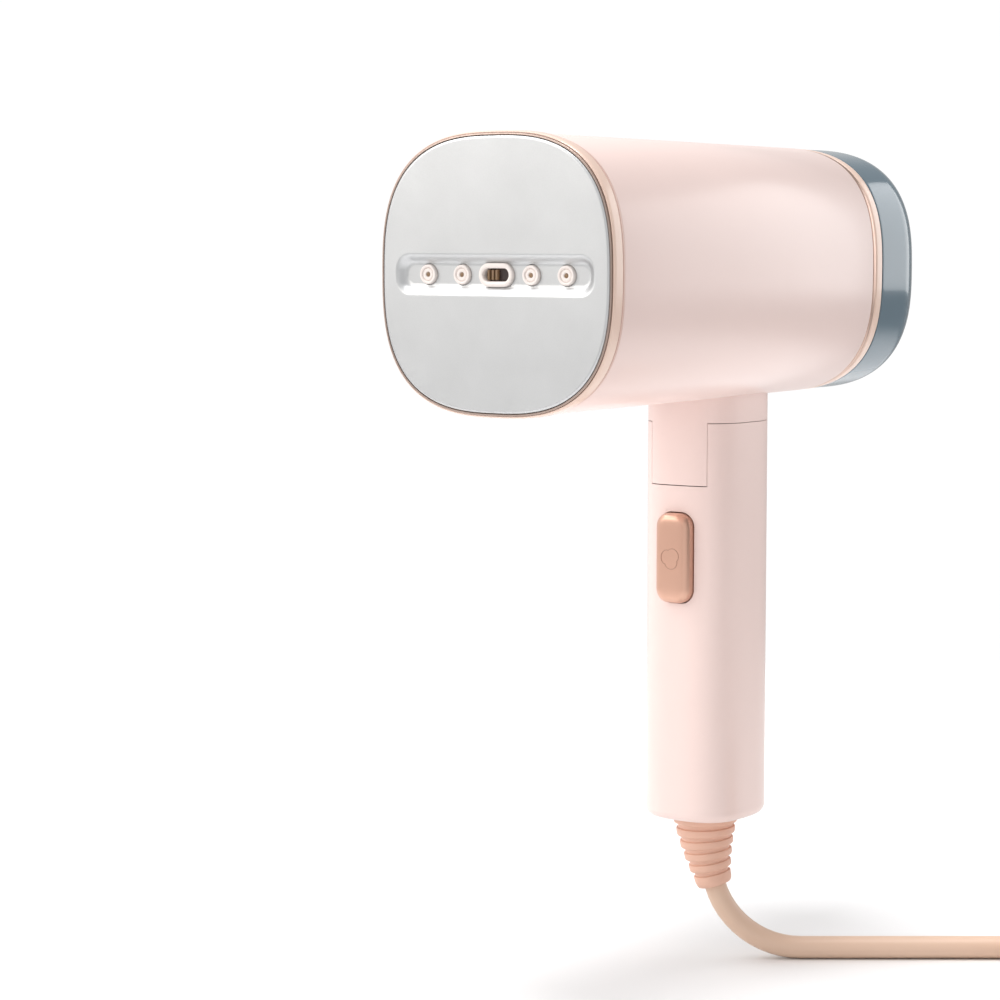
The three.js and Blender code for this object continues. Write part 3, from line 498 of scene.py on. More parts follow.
def make_front_bezel():
    """The cream and rose band round the plate, and the fine line between it and the shell, which is darker
    rose as painted shade in the seam.
    """
    profile = [
        (PLATE_R + 0.6, FACE_Y + 4.3),
        (PLATE_R + 0.75, FACE_Y + 1.0, 0.1),
        (PLATE_R + 1.1, FACE_Y + 0.8, 0.2),
        (PLATE_R + 1.45, FACE_Y + 1.8, 1.0),
        (PLATE_R + 1.5, SHELL_FRONT_Y - 2.0, 1.5),
        (PLATE_R + 1.0, SHELL_FRONT_Y - 0.9, 0.3),
        (PLATE_R - 1.5, SHELL_FRONT_Y - 0.4),
        (PLATE_R - 1.5, PLATE_REAR_Y + 0.3),
    ]
    fit(turned("bezel_band", profile, head_place, "bezel"), "head", ("front_bezel",))
    # A thin darker ring in the seam: its colour is painted shade.
    line = [
        (PLATE_R - 0.2, SHELL_FRONT_Y - 1.0),
        (PLATE_R + 1.25, SHELL_FRONT_Y - 1.0, 0.2),
        (PLATE_R + 1.0, SHELL_FRONT_Y + 0.4, 0.2),
        (PLATE_R - 0.2, SHELL_FRONT_Y + 0.4),
    ]
    fit(turned("bezel_shade_line", line, head_place, "bezel_shade_line"), "head")


def make_sole_trim():
    inner, outer = PLATE_R + 0.05, PLATE_R + 0.7
    profile = [
        (inner, FACE_Y + 0.6),
        (PLATE_R + 0.2, FACE_Y + 0.3, 0.1),
        (outer, FACE_Y + 0.45, 0.2),
        (outer, FACE_Y + 4.0),
        (inner, FACE_Y + 4.0),
    ]
    fit(turned("sole_trim", profile, head_place, "sole_line"), "head", ("sole_trim_ring",))


def channel_cutter():
    """The trough's shape: rounded at its lip and at its floor, with ends that slope like its sides."""
    lip_wide, lip_tall = 76.0, 13.8
    lip_corner, floor_corner = 5.6, 2.4
    slope = 4.2  # how far each side comes in on its way down
    over = 2.0  # how far the cutter stands out over the lip, above the plate's face
    levels = [(FACE_Y - 1.0, lip_wide + 2 * over, lip_tall + 2 * over, lip_corner + 1.6)]
    steps = 12
    for i in range(steps + 1):
        share = i / steps
        # An S-curve in depth gives the lip and the floor their small radii.
        depth = CHANNEL_DEEP * (share - 0.15 * math.sin(2 * math.pi * share))
        inward = slope * 2 * share
        corner = lip_corner + (floor_corner - lip_corner) * share
        # The lip's level lies just over the face, so that the cut runs clean through it.
        levels.append((FACE_Y + depth - 0.02 * (1 - share), lip_wide - inward, lip_tall - inward, corner))
    return padded_block("cutter", 0.0, HEAD_Z, levels, "inner", steps=10)


def make_soleplate():
    """The steam plate, with the sunk channel and the holes in which the outlets stand."""
    profile = [
        (0.0, FACE_Y),
        (PLATE_R, FACE_Y, 0.9),
        (PLATE_R, PLATE_REAR_Y),
        (0.0, PLATE_REAR_Y),
    ]
    plate = turned("sole_face", profile, head_place, "plate")
    cut(plate, channel_cutter())
    front, rear = FACE_Y - 1, FACE_Y + 8
    for x in NOZZLE_PLACES:
        cut(plate, rod(round_about_y(x, HEAD_Z), NOZZLE_R + 0.2, front, rear, steps=40))
    gap = 0.15
    slot = [(y, OUTLET_WIDE + 2 * gap, OUTLET_TALL + 2 * gap, OUTLET_CORNER + gap) for y in (front, rear)]
    cut(plate, padded_block("cutter", 0.0, HEAD_Z, slot, "inner"))
    smooth_over(plate.data, 30)
    flatten(plate)
    fit(plate, "head", ("soleplate",))


def make_nozzles():
    """The round outlets: a ring in a ring, and the brown core in its bore."""
    tip, rear = OUTLET_TIP_Y, PLATE_REAR_Y - 0.3
    ring = [
        (0.65, tip + 0.8),
        (0.9, tip + 0.3, 0.15),
        (1.8, tip + 0.3, 0.35),
        (2.05, tip + 0.8, 0.1),
        (2.25, tip + 0.1, 0.1),
        (NOZZLE_R - 0.15, tip, 0.35),
        (NOZZLE_R, CHANNEL_FLOOR_Y + 0.3),
        (NOZZLE_R, rear),
        (0.65, rear),
    ]
    core = [(0.0, tip + 0.42), (0.7, tip + 0.42, 0.15), (0.7, tip + 1.6), (0.0, tip + 1.6)]
    for number, x in enumerate(NOZZLE_PLACES, 1):
        place = round_about_y(x, HEAD_Z)
        outlet = turned(f"outlet_{number}", ring, place, "insert", steps=56)
        fit(outlet, "head", (f"steam_nozzle_{number}",))
        fit(turned(f"outlet_core_{number}", core, place, "outlet_core", steps=40), "head")


def make_centre_outlet():
    """The long outlet: its rim, a near-black sheet deep in its slot that paints the shade inside it, and
    the baffles that stand in it.
    """
    tip = OUTLET_TIP_Y
    rim = [
        (PLATE_REAR_Y - 0.3, OUTLET_WIDE, OUTLET_TALL, OUTLET_CORNER),
        (tip + 0.5, OUTLET_WIDE, OUTLET_TALL, OUTLET_CORNER),
        (tip + 0.18, OUTLET_WIDE - 0.2, OUTLET_TALL - 0.2, OUTLET_CORNER - 0.1),
        (tip, OUTLET_WIDE - 0.7, OUTLET_TALL - 0.7, OUTLET_CORNER - 0.3),
        (tip, 10.6, 5.1, 2.5),
        (tip + 0.15, 10.0, 4.4, 2.2),
        (tip + 0.5, 9.7, 4.0, 2.0),
        (tip + 3.0, 9.5, 3.8, 1.9),
    ]
    fit(padded_block("centre_rim", 0.0, HEAD_Z, rim, "insert"), "head", ("centre_outlet",))
    # A near-black sheet deep in the slot: painted shade for its inside.
    well = [(tip + 2.9, 9.5, 3.8, 1.9), (tip + 2.2, 9.5, 3.8, 1.9), (tip + 2.1, 9.3, 3.6, 1.8)]
    fit(padded_block("slot_shade_well", 0.0, HEAD_Z, well, "slot_shade"), "head")
    baffle = [(tip + 2.5, 0.8, 3.2, 0.3), (tip + 1.1, 0.8, 3.1, 0.3), (tip + 1.0, 0.6, 2.9, 0.3)]
    for number, x in enumerate((-3.3, -1.7, -0.3), 1):
        fit(padded_block(f"slot_baffle_{number}", x, HEAD_Z, baffle, "outlet_core"), "head")


def make_rear_rings():
    """The rose line behind the shell, and the pale collar that the tank slides into."""
    outer = SHELL_REAR_R - 0.08
    line_front, line_rear = SHELL_REAR_Y + 0.1, SHELL_REAR_Y + REAR_LINE_LONG
    line = [
        (SHELL_REAR_R - 1.9, line_front),
        (outer, line_front, 0.25),
        (outer - 0.02, line_rear, 0.4),
        (SHELL_REAR_R - 1.9, line_rear),
    ]
    fit(turned("rear_line", line, head_place, "rose_trim"), "head", ("rear_trim_ring",))
    band_front, band_rear = line_rear + 0.1, TANK_FRONT_Y - 0.35
    band = [
        (SHELL_REAR_R - SHELL_WALL, band_front),
        (SHELL_REAR_R - 0.5, band_front, 0.2),
        (outer, band_front + 0.6, 0.5),
        (outer - 0.06, TANK_FRONT_Y - 1.1, 0.8),
        (SHELL_REAR_R - 0.65, band_rear, 0.3),
        (SHELL_REAR_R - SHELL_WALL, band_rear),
    ]
    fit(turned("collar_band", band, head_place, "bezel"), "head", ("tank_collar",))


def swing_reach(x, height):
    """Distance from the pivot to the handle's front surface, at x and at a height from the pivot."""
    share = 1 - min(abs(x) / (HANDLE_R * HANDLE_WIDE), 1.0) ** HANDLE_EXPONENT
    return math.hypot(max(HANDLE_R * share ** (1 / HANDLE_EXPONENT) + PIVOT_Y, 0.0), height)


def swing_cutter(near, far, height, count):
    """The space from x = near to far that a front corner at that height swings through."""
    places = [near + (far - near) * i / (count - 1) for i in range(count)]
    profile = [(swing_reach(x, height) + SWEEP_GAP, x) for x in places]
    profile = [(0.0, near), *profile, (0.0, far)]
    return turned("cutter", profile, round_about_x(PIVOT_Y, PIVOT_Z), "inner", steps=96)


def make_neck():
    """The neck under the head, and the lug that goes down between the handle's two cheeks."""
    top = 84.0  # inside the head
    low = 30.0  # below the lug
    side = 20.0  # past the neck's sides
    about_pivot = round_about_x(PIVOT_Y, PIVOT_Z)
    profile = [(0.0, LUG_BOTTOM_Z), (HANDLE_R, LUG_BOTTOM_Z), (HANDLE_R, top), (0.0, top)]
    neck = turned("neck_skin", profile, handle_place, "shell")
    for near, far in ((-CLEAR, -LUG_HALF), (LUG_HALF, CLEAR)):
        cut(neck, box_solid(near, far, -CLEAR, CLEAR, low, SEAM_Z))
    cut(neck, box_solid(-side, side, LUG_REAR_Y, CLEAR, low, SEAM_Z))
    # The lug's lower front corner is round about the pivot.
    corner = box_solid(-side, side, -CLEAR, CLEAR, low, PIVOT_Z)
    cut(corner, rod(about_pivot, LUG_SWEEP, -side - 5, side + 5, steps=128))
    cut(neck, corner)
    # Beside the lug, the handle's front edges need room above the seam when the head folds.
    near, far = LUG_HALF + 0.05, LUG_HALF + 6.35
    for way in (-1, 1):
        cut(neck, swing_cutter(way * near, way * far, HANDLE_TOP - PIVOT_Z, 19))
    cut(neck, rod(about_pivot, PIN_R + PIN_GAP, -20.0, 20.0, steps=48))
    ease(neck, 0.35)
    fit(neck, "head", ("neck_and_lug",))


# ---- Tank ----

def tank_end(inset, steps):
    """The rounding at the tank's rear, as (r, y) points from its side to its flat rear face."""
    r = TANK_ROUND - inset
    turns = [i / steps * math.pi / 2 for i in range(steps + 1)]
    middle_r, middle_y = TANK_R - TANK_ROUND, TANK_REAR_Y - TANK_ROUND
    return [(middle_r + r * math.cos(turn), middle_y + r * math.sin(turn)) for turn in turns]


def make_tank():
    """The hollow smoky tank, open to the front, with a counterbored filling hole underneath."""
    profile = [
        (TANK_R - 0.5, TANK_FRONT_Y),
        (TANK_R - 0.1, TANK_FRONT_Y + 0.2),
        (TANK_R, TANK_FRONT_Y + 0.8),
        *tank_end(0.0, 20),
        (0.0, TANK_REAR_Y),
        (0.0, TANK_REAR_Y - TANK_WALL),
        *reversed(tank_end(TANK_WALL, 12)),
        (TANK_R - TANK_WALL, TANK_FRONT_Y),
    ]
    tank = turned("tank_skin", profile, head_place, "tank")
    seat_z = TANK_BOTTOM_Z + 1.15
    filler = [
        (0.0, TANK_BOTTOM_Z - 2.0),
        (8.8, TANK_BOTTOM_Z - 2.0),
        (8.8, seat_z),
        (6.4, seat_z),
        (6.4, TANK_BOTTOM_Z + 4.0),
        (0.0, TANK_BOTTOM_Z + 4.0),
    ]
    cut(tank, turned("cutter", filler, round_about_z(0.0, FILLER_Y), "inner", steps=64))
    smooth_over(tank.data, SHARP)
    flatten(tank)
    fit(tank, "tank", ("water_tank",))


def make_filler_plug():
    """A push-in bung with a raised rim to pull it by."""
    profile = [
        (0.0, TANK_BOTTOM_Z + 0.25),
        (5.2, TANK_BOTTOM_Z + 0.25, 0.2),
        (5.8, TANK_BOTTOM_Z + 0.1, 0.2),
        (8.3, TANK_BOTTOM_Z + 0.1, 0.3),
        (8.4, TANK_BOTTOM_Z + 0.9, 0.15),
        (6.0, TANK_BOTTOM_Z + 0.9, 0.15),
        (6.0, TANK_BOTTOM_Z + 4.4, 0.5),
        (0.0, TANK_BOTTOM_Z + 4.4),
    ]
    plug = turned("filler_bung", profile, round_about_z(0.0, FILLER_Y), "rubber", steps=64)
    fit(plug, "filler_plug", ("filler_plug",))


# ---- Handle ----

def make_handle():
    """The handle's front shell and its back cover, cut from one body so that they meet all round."""
    about_pivot = round_about_x(PIVOT_Y, PIVOT_Z)
    profile = [
        (0.0, HANDLE_BOTTOM),
        (HANDLE_R, HANDLE_BOTTOM, 3.2),
        (HANDLE_R, HANDLE_TOP),
        (0.0, HANDLE_TOP),
    ]
    whole = turned("handle_skin", profile, handle_place, "shell")
    cut(whole, rod(handle_place, HANDLE_R - HANDLE_WALL, HANDLE_BOTTOM + HANDLE_WALL, 40.0, steps=96))
    # The slot between the cheeks: the lug's room, and in front of it the way that the lug swings out.
    slot_rear_y, slot_bottom_z, slot_top_z = COVER_Y - 0.4, 38.0, 80.0
    slot = [
        (-CLEAR, PIVOT_Z),
        (-13.5, PIVOT_Z),
        (-13.5, slot_bottom_z),
        (slot_rear_y, slot_bottom_z),
        (slot_rear_y, slot_top_z),
        (-CLEAR, slot_top_z),
    ]
    slot_half = LUG_HALF + 0.15
    cut(whole, side_prism(slot, slot_half))
    cut(whole, swing_cutter(-slot_half, slot_half, PIVOT_Z - LUG_BOTTOM_Z, 25))
    gap = 0.35
    window_size = (BUTTON_WIDE + 2 * gap, BUTTON_TALL + 2 * gap, BUTTON_CORNER + gap)
    window = [(-CLEAR, *window_size), (-10.0, *window_size)]
    cut(whole, padded_block("cutter", 0.0, BUTTON_Z, window, "inner"))
    cord_hole_r, pin_hole_end, screw_sink_r = 8.1, 14.6, 3.1
    foot = (HANDLE_BOTTOM - 13.0, HANDLE_BOTTOM + 7.0)
    cut(whole, rod(round_about_z(0.0, 0.0), cord_hole_r, *foot, steps=64))
    cut(whole, rod(about_pivot, PIN_R + PIN_GAP, -pin_hole_end, pin_hole_end, steps=48))
    cover = add_object("handle_back_skin", whole.data.copy())
    seam = 0.08
    aside, past_end = 40.0, 90.0  # outside the handle
    cut(whole, box_solid(-CLEAR, CLEAR, COVER_Y - seam, aside, -past_end, past_end))
    cut(cover, box_solid(-CLEAR, CLEAR, -aside, COVER_Y + seam, -past_end, past_end))
    for z in COVER_SCREW_PLACES:
        cut(cover, rod(round_about_y(0.0, z), screw_sink_r, HANDLE_R - 1.1, CLEAR, steps=48))
    ease(whole, 0.35)
    ease(cover, 0.25)
    fit(whole, "handle", ("handle_shell",))
    fit(cover, "handle", ("handle_back_cover",))


def make_cover_screws():
    """Sunk heads with a cross slot, each turned a little differently."""
    top = HANDLE_R - 0.15
    slot_half_long, slot_half_wide, slot_deep = 1.5, 0.32, 0.6
    profile = [(0.0, top), (2.2, top, 0.3), (2.7, top - 0.35, 0.2), (2.7, top - 0.9), (0.0, top - 0.9)]
    for number, z in enumerate(COVER_SCREW_PLACES, 1):
        head = turned(f"cover_screw_head_{number}", profile, round_about_y(0.0, z), "steel", steps=48)
        for turn in (0.0, 90.0):
            bar = box_solid(-slot_half_long, slot_half_long, top - slot_deep, top + 1.0,
                            -slot_half_wide, slot_half_wide)
            bar.data.transform(Matrix.Rotation(math.radians(turn + 18 * number), 4, "Y"))
            bar.data.transform(Matrix.Translation((0.0, 0.0, z * MM)))
            cut(head, bar)
        flatten(head)
        fit(head, "handle", (f"cover_screw_{number}",))


def make_button():
    """The button's cap, a skirt in its window and a softly rounded crown, with its mark."""
    front = -HANDLE_R - BUTTON_PROUD
    skirt_wide, skirt_tall, skirt_corner = BUTTON_WIDE + 0.4, BUTTON_TALL + 0.4, BUTTON_CORNER + 0.2
    skirt_rear_y, skirt_front_y, cap_rear_y = -14.2, -16.4, -17.0
    levels = [
        (skirt_rear_y, skirt_wide, skirt_tall, skirt_corner),
        (skirt_front_y, skirt_wide, skirt_tall, skirt_corner),
        (cap_rear_y, BUTTON_WIDE, BUTTON_TALL, BUTTON_CORNER),
    ]
    # The crown's rounding reaches this far in from the cap's sides, and is this deep.
    crown, deep = 2.6, 2.3
    steps = 8
    for i in range(steps + 1):
        turn = 0.92 * i / steps * math.pi / 2
        inset = crown * (1 - math.cos(turn))
        y = front + 0.15 + deep * (1 - math.sin(turn))
        levels.append((y, BUTTON_WIDE - 2 * inset, BUTTON_TALL - 2 * inset, BUTTON_CORNER - inset * 0.7))
    top_wide, top_tall = BUTTON_WIDE - 2 * crown, BUTTON_TALL - 2 * crown
    levels.append((front + 0.06, top_wide - 1.2, top_tall - 1.6, 2.4))
    levels.append((front + 0.02, top_wide - 4.0, top_tall - 6.0, 1.6))
    button = padded_block("button_cap", 0.0, BUTTON_Z, levels, "button", steps=10, sharp=50.0)
    fit(button, "steam_button", ("steam_button",))
    # A generic mark: a small puff of steam, in a thin engraved line.
    mark = []
    count = 96
    for i in range(count):
        turn = 2 * math.pi * i / count
        r = 2.7 + 0.9 * abs(math.sin(1.5 * turn + 0.4)) ** 0.7
        mark.append((r * math.cos(turn), front + 0.02, BUTTON_Z + r * math.sin(turn)))
    fit(round_line("button_mark", mark, 0.13, "mark", around=2, closed=True), "steam_button")


# ---- Cord ----

def on_way(along, z, across=0.0):
    """A point on the cord's own line over the floor, from its distance along and across it."""
    x = along * math.cos(CORD_TURN) - across * math.sin(CORD_TURN)
    y = along * math.sin(CORD_TURN) + across * math.cos(CORD_TURN)
    return x, y, z


def lean_place(down):
    """Along, height and lean of the boot's middle at a distance below the handle's foot."""
    bend = BOOT_LONG / BOOT_LEAN
    lean = down / bend
    return bend * (1 - math.cos(lean)), BOOT_TOP - bend * math.sin(lean), lean


def boot_point(r, turn, down):
    """A point of the leaning boot: r and turn round its middle line, down along it."""
    if down < 0:
        return on_way(r * math.cos(turn), BOOT_TOP - down, r * math.sin(turn))
    along, z, lean = lean_place(down)
    u, v = r * math.cos(turn), r * math.sin(turn)
    return on_way(along + u * math.cos(lean), z + u * math.sin(lean), v)


def make_boot():
    """The ribbed strain relief: a stub in the handle's foot, then ribs that get smaller down the cord."""
    ribs = 6
    pitch = BOOT_LONG / ribs
    profile = [(CORD_R + 0.2, -2.0), (7.7, -2.0), (7.7, -0.1, 0.2)]
    for i in range(ribs):
        r = 11.1 - 4.5 * i / (ribs - 1)
        down = i * pitch
        profile += [
            (r - 0.1, down, 0.5),
            (r - 0.3, down + pitch * 0.6, 0.6),
            (r - 1.6, down + pitch * 0.68, 0.25),
            (r - 1.8, down + pitch * 0.98, 0.25),
        ]
    # The last rib has no groove under it.
    profile = profile[:-2] + [(5.8, BOOT_LONG, 0.6), (CORD_R + 0.1, BOOT_LONG)]
    fit(turned("boot_skin", profile, boot_point, "rubber", steps=72), "handle", ("cord_boot",))


def smooth_step(share):
    """Goes from 0 to 1 with share, gently at both ends."""
    share = min(max(share, 0.0), 1.0)
    return share * share * (3 - 2 * share)


def free_route():
    """The cord's middle line from inside the boot, down to the floor and along it to the coil."""
    route = []
    for share in (0.2, 0.4, 0.6, 0.8, 1.0):
        along, z, _ = lean_place(BOOT_LONG * share)
        route.append(on_way(along, z))
    start, start_z, _ = lean_place(BOOT_LONG)
    r = (start_z - LIE_Z) / (1 - math.sin(BOOT_LEAN))
    arc_steps, flat_steps = 12, 16
    for i in range(1, arc_steps + 1):
        lean = BOOT_LEAN + (math.pi / 2 - BOOT_LEAN) * i / arc_steps
        along = start + r * (math.cos(BOOT_LEAN) - math.cos(lean))
        route.append(on_way(along, start_z - r * (math.sin(lean) - math.sin(BOOT_LEAN))))
    first_flat = start + r * math.cos(BOOT_LEAN)
    for i in range(1, flat_steps):
        route.append(on_way(first_flat + (COIL_ALONG - first_flat) * i / flat_steps, LIE_Z))
    return route


def coil_route():
    """Turns laid beside each other, then on each other. Each passes to the next over its last part."""
    outer, inner = COIL_OUTER_R, COIL_TURN_R - CORD_R
    turns = [(outer, 0), (inner, 0), (inner, 1), (outer, 1), (outer, 2), (inner, 2), (outer, 3), (outer, 3)]
    per_turn = 40
    pass_from = 0.72
    last_part = (math.radians(270.0) + CORD_TURN) / (2 * math.pi)
    route = []
    for step in range(6 * per_turn + round(per_turn * last_part)):
        number, share = step // per_turn, step % per_turn / per_turn
        (r0, level0), (r1, level1) = turns[number], turns[number + 1]
        passed = smooth_step((share - pass_from) / (1 - pass_from))
        r = r0 + (r1 - r0) * passed
        z = LIE_Z + 2 * CORD_R * (level0 + (level1 - level0) * passed)
        turn = math.pi / 2 - 2 * math.pi * share
        route.append(on_way(COIL_ALONG + r * math.cos(turn), z, -COIL_OUTER_R + r * math.sin(turn)))
    return route


def curl_route():
    """The last of the cord curls in over the coil, up to the plug that lies on it."""
    drop = COIL_TOP - CORD_R - PLUG_Z
    steps = 20
    route = []
    for i in range(steps + 1):
        turn = math.pi * i / steps
        up = drop * (1 - smooth_step(i / steps))
        route.append(by_plug(-CURL_R * math.sin(turn), -CURL_R - CURL_R * math.cos(turn), up))
    route.append(by_plug(2.0, 0.0, 0.0))
    return route


def by_plug(out, side, up):
    """A point from the curl's end: out along the plug, to its side and above it. The plug points to -Y."""
    x, y, _ = on_way(COIL_ALONG, 0.0, -COIL_OUTER_R)
    return x + 2 * CURL_R - COIL_OUTER_R + side, y - out, PLUG_Z + up


def make_cord():
    """The whole cord as one round line, from the boot to the plug."""
    route = free_route() + coil_route() + curl_route()
    line = round_line("cord_line", route, CORD_R, "cord", around=5)
    fit(line, "handle", ("power_cord", "cord_coil"))
    return line


def make_tie():
    """A soft strap round one side of the coil."""
    wide, tall, corner = 4 * CORD_R + 1.0, 8 * CORD_R + 0.8, 4.0
    half_width = 5.0
    thick = 1.1
    # The strap's own section: how far outward of its inner face, and how far to the side.
    section = [(0.0, -1), (0.9, -1), (thick, -0.7), (thick, 0.7), (0.9, 1), (0.0, 1)]
    rings = []
    for outward, side in section:
        lowest = FLOOR_Z + thick + 0.1 - outward
        rings.append([
            on_way(
                COIL_ALONG - COIL_TURN_R + a,
                max(FLOOR_Z + 4 * CORD_R + b, lowest),
                -COIL_OUTER_R + side * half_width,
            )
            for a, b in rounded_box_ring(wide + 2 * outward, tall + 2 * outward, corner + outward)
        ])
    points = [point for ring in rings for point in ring]
    faces = bands(len(rings), len(rings[0]), closed=True)
    tie = from_points("tie_strap", points, faces, "seal")
    fit(tie, "handle", ("cord_tie",))
    return tie


def make_plug():
    """A flat two-pin plug with a waist to hold it by."""
    sections = [  # along, half width, half height
        (-3.6, 4.0, 4.0),
        (-3.0, 4.6, 4.6),
        (0.0, 5.2, 5.0),
        (4.0, 6.6, 5.6),
        (9.0, 10.6, 6.2),
        (13.0, 12.4, 6.4),
        (18.0, 12.3, 6.3),
        (24.0, 11.9, 6.2),
        (29.0, 12.6, 6.5),
        (PLUG_LONG - 1.0, 12.9, 6.6),
        (PLUG_LONG, 12.4, 6.1),
    ]
    rings = []
    for along, half_wide, half_tall in sections:
        corner = 0.96 * min(half_wide, half_tall)
        ring = rounded_box_ring(2 * half_wide, 2 * half_tall, corner)
        rings.append([by_plug(PLUG_AT + along, a, b) for a, b in ring])
    body = stacked("plug_skin", rings, "cord", sharp=60.0)
    smooth = body.modifiers.new("smooth", "SUBSURF")
    smooth.levels = 1
    smooth.render_levels = 1
    settle(body)
    fit(body, "handle", ("plug_body",))
    return body


def about_pin(side):
    return lambda r, turn, out: by_plug(out, side * PIN_SPREAD + r * math.cos(turn), r * math.sin(turn))


def make_pins():
    """Two round pins, each with a dark sleeve over the part next to the plug."""
    start = PLUG_AT + PLUG_LONG - 6.0
    end, sleeve_end = start + PIN_LONG, start + 15.5
    metal = [(0.0, start), (2.0, start), (2.0, end, 1.2), (0.0, end)]
    cover = [(1.9, start), (2.12, start), (2.12, sleeve_end, 0.1), (1.9, sleeve_end)]
    made = []
    for side, node in ((-1, "plug_pin_left"), (1, "plug_pin_right")):
        pin = turned(node + "_metal", metal, about_pin(side), "steel", steps=40)
        fit(pin, "handle", (node,))
        sleeve = turned(node + "_sleeve", cover, about_pin(side), "dark", steps=40)
        fit(sleeve, "handle")
        made += [pin, sleeve]
    return made


# ---- Stage ----

def make_floor():
    """A pale round floor that fades out, so that it has no edge in the view."""
    reach, fade_from = 0.85, 0.45  # metres
    corners = 64
    turns = [2 * math.pi * i / corners for i in range(corners)]
    mesh = bpy.data.meshes.new("floor")
    mesh.from_pydata([(reach * math.cos(turn), reach * math.sin(turn), 0.0) for turn in turns], [],
                     [tuple(range(corners))])
    color = (0.82, 0.82, 0.825)
    material, nodes, links, surface = shader("pale_floor", color, roughness=0.6)
    vary_color(nodes, links, surface, color, spread=0.004, scale=3.0)
    place = nodes.new("ShaderNodeTexCoord")
    away = nodes.new("ShaderNodeVectorMath")
    away.operation = "LENGTH"
    links.new(place.outputs["Object"], away.inputs[0])
    fade = nodes.new("ShaderNodeMapRange")
    fade.interpolation_type = "SMOOTHSTEP"
    fade.inputs["From Min"].default_value = fade_from
    fade.inputs["From Max"].default_value = reach
    links.new(away.outputs["Value"], fade.inputs["Value"])
    open_air = nodes.new("ShaderNodeBsdfTransparent")
    mix = nodes.new("ShaderNodeMixShader")
    links.new(fade.outputs["Result"], mix.inputs["Fac"])
    links.new(surface.outputs["BSDF"], mix.inputs[1])
    links.new(open_air.outputs["BSDF"], mix.inputs[2])
    links.new(mix.outputs["Shader"], nodes["Material Output"].inputs["Surface"])
    mesh.materials.append(material)
    floor = add_object("floor", mesh)
    floor.location = (0.0, 0.0, FLOOR_Z * MM)


def area_light(name, place, aim, wide, tall, power, color=(1.0, 1.0, 1.0)):
    """A soft rectangular light that faces a point. Its sizes and places are in metres."""
    light = bpy.data.lights.new(name, "AREA")
    light.shape = "RECTANGLE"
    light.size = wide
    light.size_y = tall
    light.energy = power
    light.color = color
    made = add_object(name, light)
    made.location = place
    made.rotation_euler = (Vector(aim) - Vector(place)).to_track_quat("-Z", "Y").to_euler()


def make_lights():
    middle = (0.0, -0.02, 0.05)
    area_light("key", (-0.62, -0.80, 0.50), middle, 0.60, 0.60, 2.7, color=(1.0, 0.96, 0.905))
    # Its long reflection runs along the upper side of the head and the tank.
    area_light("behind", (0.66, 0.86, 0.37), (0.25, 0.0, 0.20), 1.1, 0.66, 4.7)
    # The steam channel's lower slope shines with this one.
    area_light("above", (-0.55, -0.32, 0.85), middle, 0.50, 0.50, 2.6)
    sun = bpy.data.lights.new("overhead", "SUN")
    sun.energy = 2.0
    sun.angle = math.radians(20.0)
    # It stands a little in front of straight overhead, so that the handle's shadow lies by the cord's bend.
    towards_sun = Vector((0.0, -0.13, 0.99))
    add_object("overhead", sun).rotation_euler = towards_sun.to_track_quat("Z", "Y").to_euler()


def by_direction(nodes, links, facing, start, end, gain):
    """A gain that comes in smoothly as a direction turns towards facing. start and end are cosines."""
    place = nodes.new("ShaderNodeTexCoord")
    dot = nodes.new("ShaderNodeVectorMath")
    dot.operation = "DOT_PRODUCT"
    dot.inputs[1].default_value = Vector(facing).normalized()
    links.new(place.outputs["Generated"], dot.inputs[0])
    level = nodes.new("ShaderNodeMapRange")
    level.interpolation_type = "SMOOTHSTEP"
    level.inputs["From Min"].default_value = start
    level.inputs["From Max"].default_value = end
    level.inputs["To Max"].default_value = gain
    links.new(dot.outputs["Value"], level.inputs["Value"])
    return level.outputs["Result"]


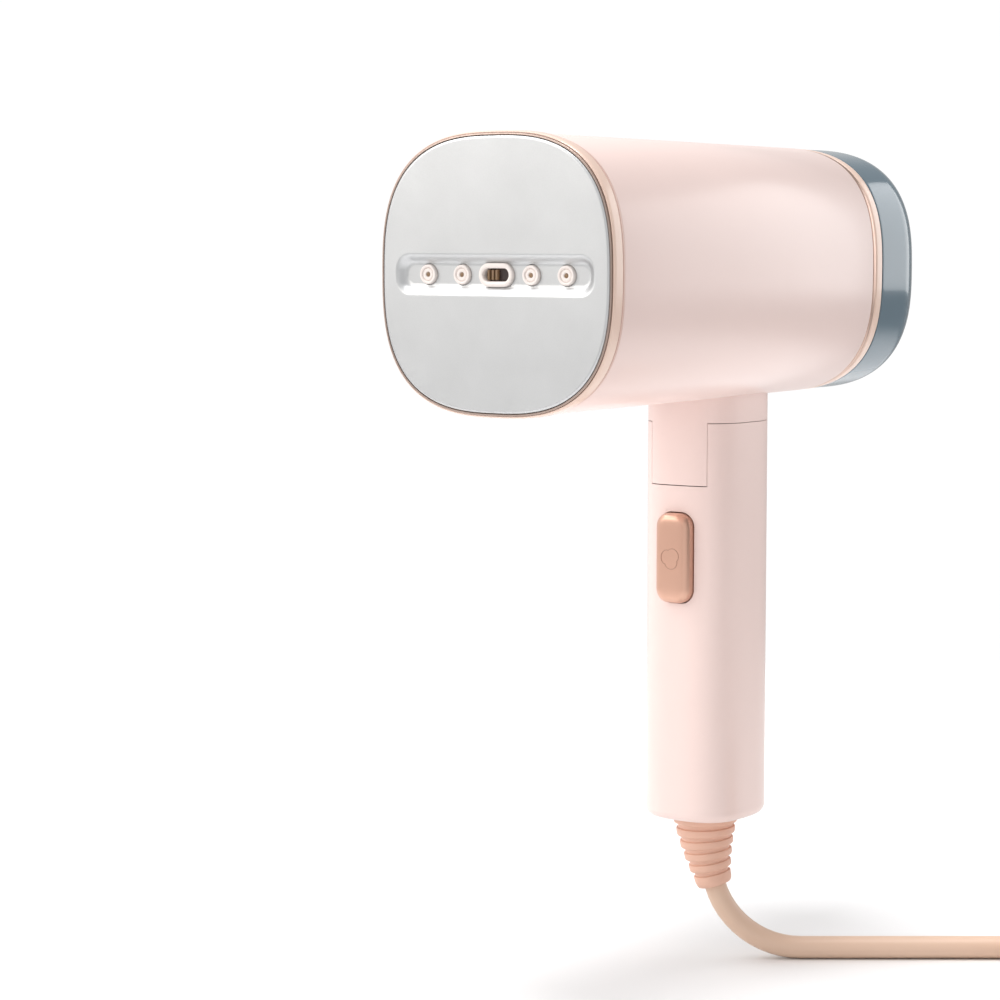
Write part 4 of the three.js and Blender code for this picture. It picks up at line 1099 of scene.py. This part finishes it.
def make_world():
    """A dim studio, lighter above, to the left and behind the camera, that looks white to the camera."""
    world = bpy.data.worlds.new("studio")
    world.use_nodes = True
    nodes, links = world.node_tree.nodes, world.node_tree.links
    lit = nodes["Background"]
    total = nodes.new("ShaderNodeValue").outputs["Value"]
    total.default_value = 0.34
    # Each row is a direction, the cosines where its light starts and is full, and how much it adds.
    for facing, start, end, gain in (
        ((-0.4, -0.3, 0.85), 0.3, 0.95, 0.40),
        ((-0.75, -0.65, 0.1), 0.1, 0.95, 0.32),
        ((-0.93, 0.3, 0.1), 0.4, 0.95, 0.40),
        ((0.6, -0.8, 0.1), 0.75, 0.97, 0.55),
        ((0.9, 0.4, -0.05), 0.3, 0.95, -0.10),
    ):
        add = nodes.new("ShaderNodeMath")
        add.operation = "ADD"
        links.new(total, add.inputs[0])
        links.new(by_direction(nodes, links, facing, start, end, gain), add.inputs[1])
        total = add.outputs["Value"]
    links.new(total, lit.inputs["Strength"])
    seen = nodes.new("ShaderNodeBackground")
    seen.inputs["Strength"].default_value = 1.02
    path = nodes.new("ShaderNodeLightPath")
    either = nodes.new("ShaderNodeMixShader")
    links.new(path.outputs["Is Camera Ray"], either.inputs["Fac"])
    links.new(lit.outputs["Background"], either.inputs[1])
    links.new(seen.outputs["Background"], either.inputs[2])
    links.new(either.outputs["Shader"], nodes["World Output"].inputs["Surface"])
    for background in (lit, seen):
        background.inputs["Color"].default_value = (1.0, 1.0, 1.0, 1.0)
    bpy.context.scene.world = world


def make_camera():
    """The camera stands to the right of the plate's axis, a little above the middle, about 1 m away."""
    data = bpy.data.cameras.new("camera")
    data.lens = 104.45
    data.sensor_width = 36.0
    data.clip_start = 0.05
    camera = add_object("camera", data)
    camera.location = (0.5249, -0.8265, 0.1303)
    turn, pitch = math.radians(36.5256), math.radians(5.268)
    look = Vector((-math.sin(turn) * math.cos(pitch), math.cos(turn) * math.cos(pitch), -math.sin(pitch)))
    camera.rotation_euler = look.to_track_quat("-Z", "Y").to_euler()
    bpy.context.scene.camera = camera


# ---- Scene ----

for entry in frame["record"]["subparts"]:
    node = frame["nodes"][entry["node"]]
    node.data.materials.clear()
    node.data.materials.append(MATERIALS[entry["material_slot"]])

make_camera()
cord = make_cord()
tie = make_tie()
plug = make_plug()
pins = make_pins()

make_head_shell()
make_front_bezel()
make_sole_trim()
make_soleplate()
make_nozzles()
make_centre_outlet()
make_rear_rings()
make_neck()
make_tank()
make_filler_plug()
make_handle()
make_cover_screws()
make_button()
make_boot()
make_floor()
make_lights()
make_world()
bpy.context.scene.view_settings.view_transform = "Standard"
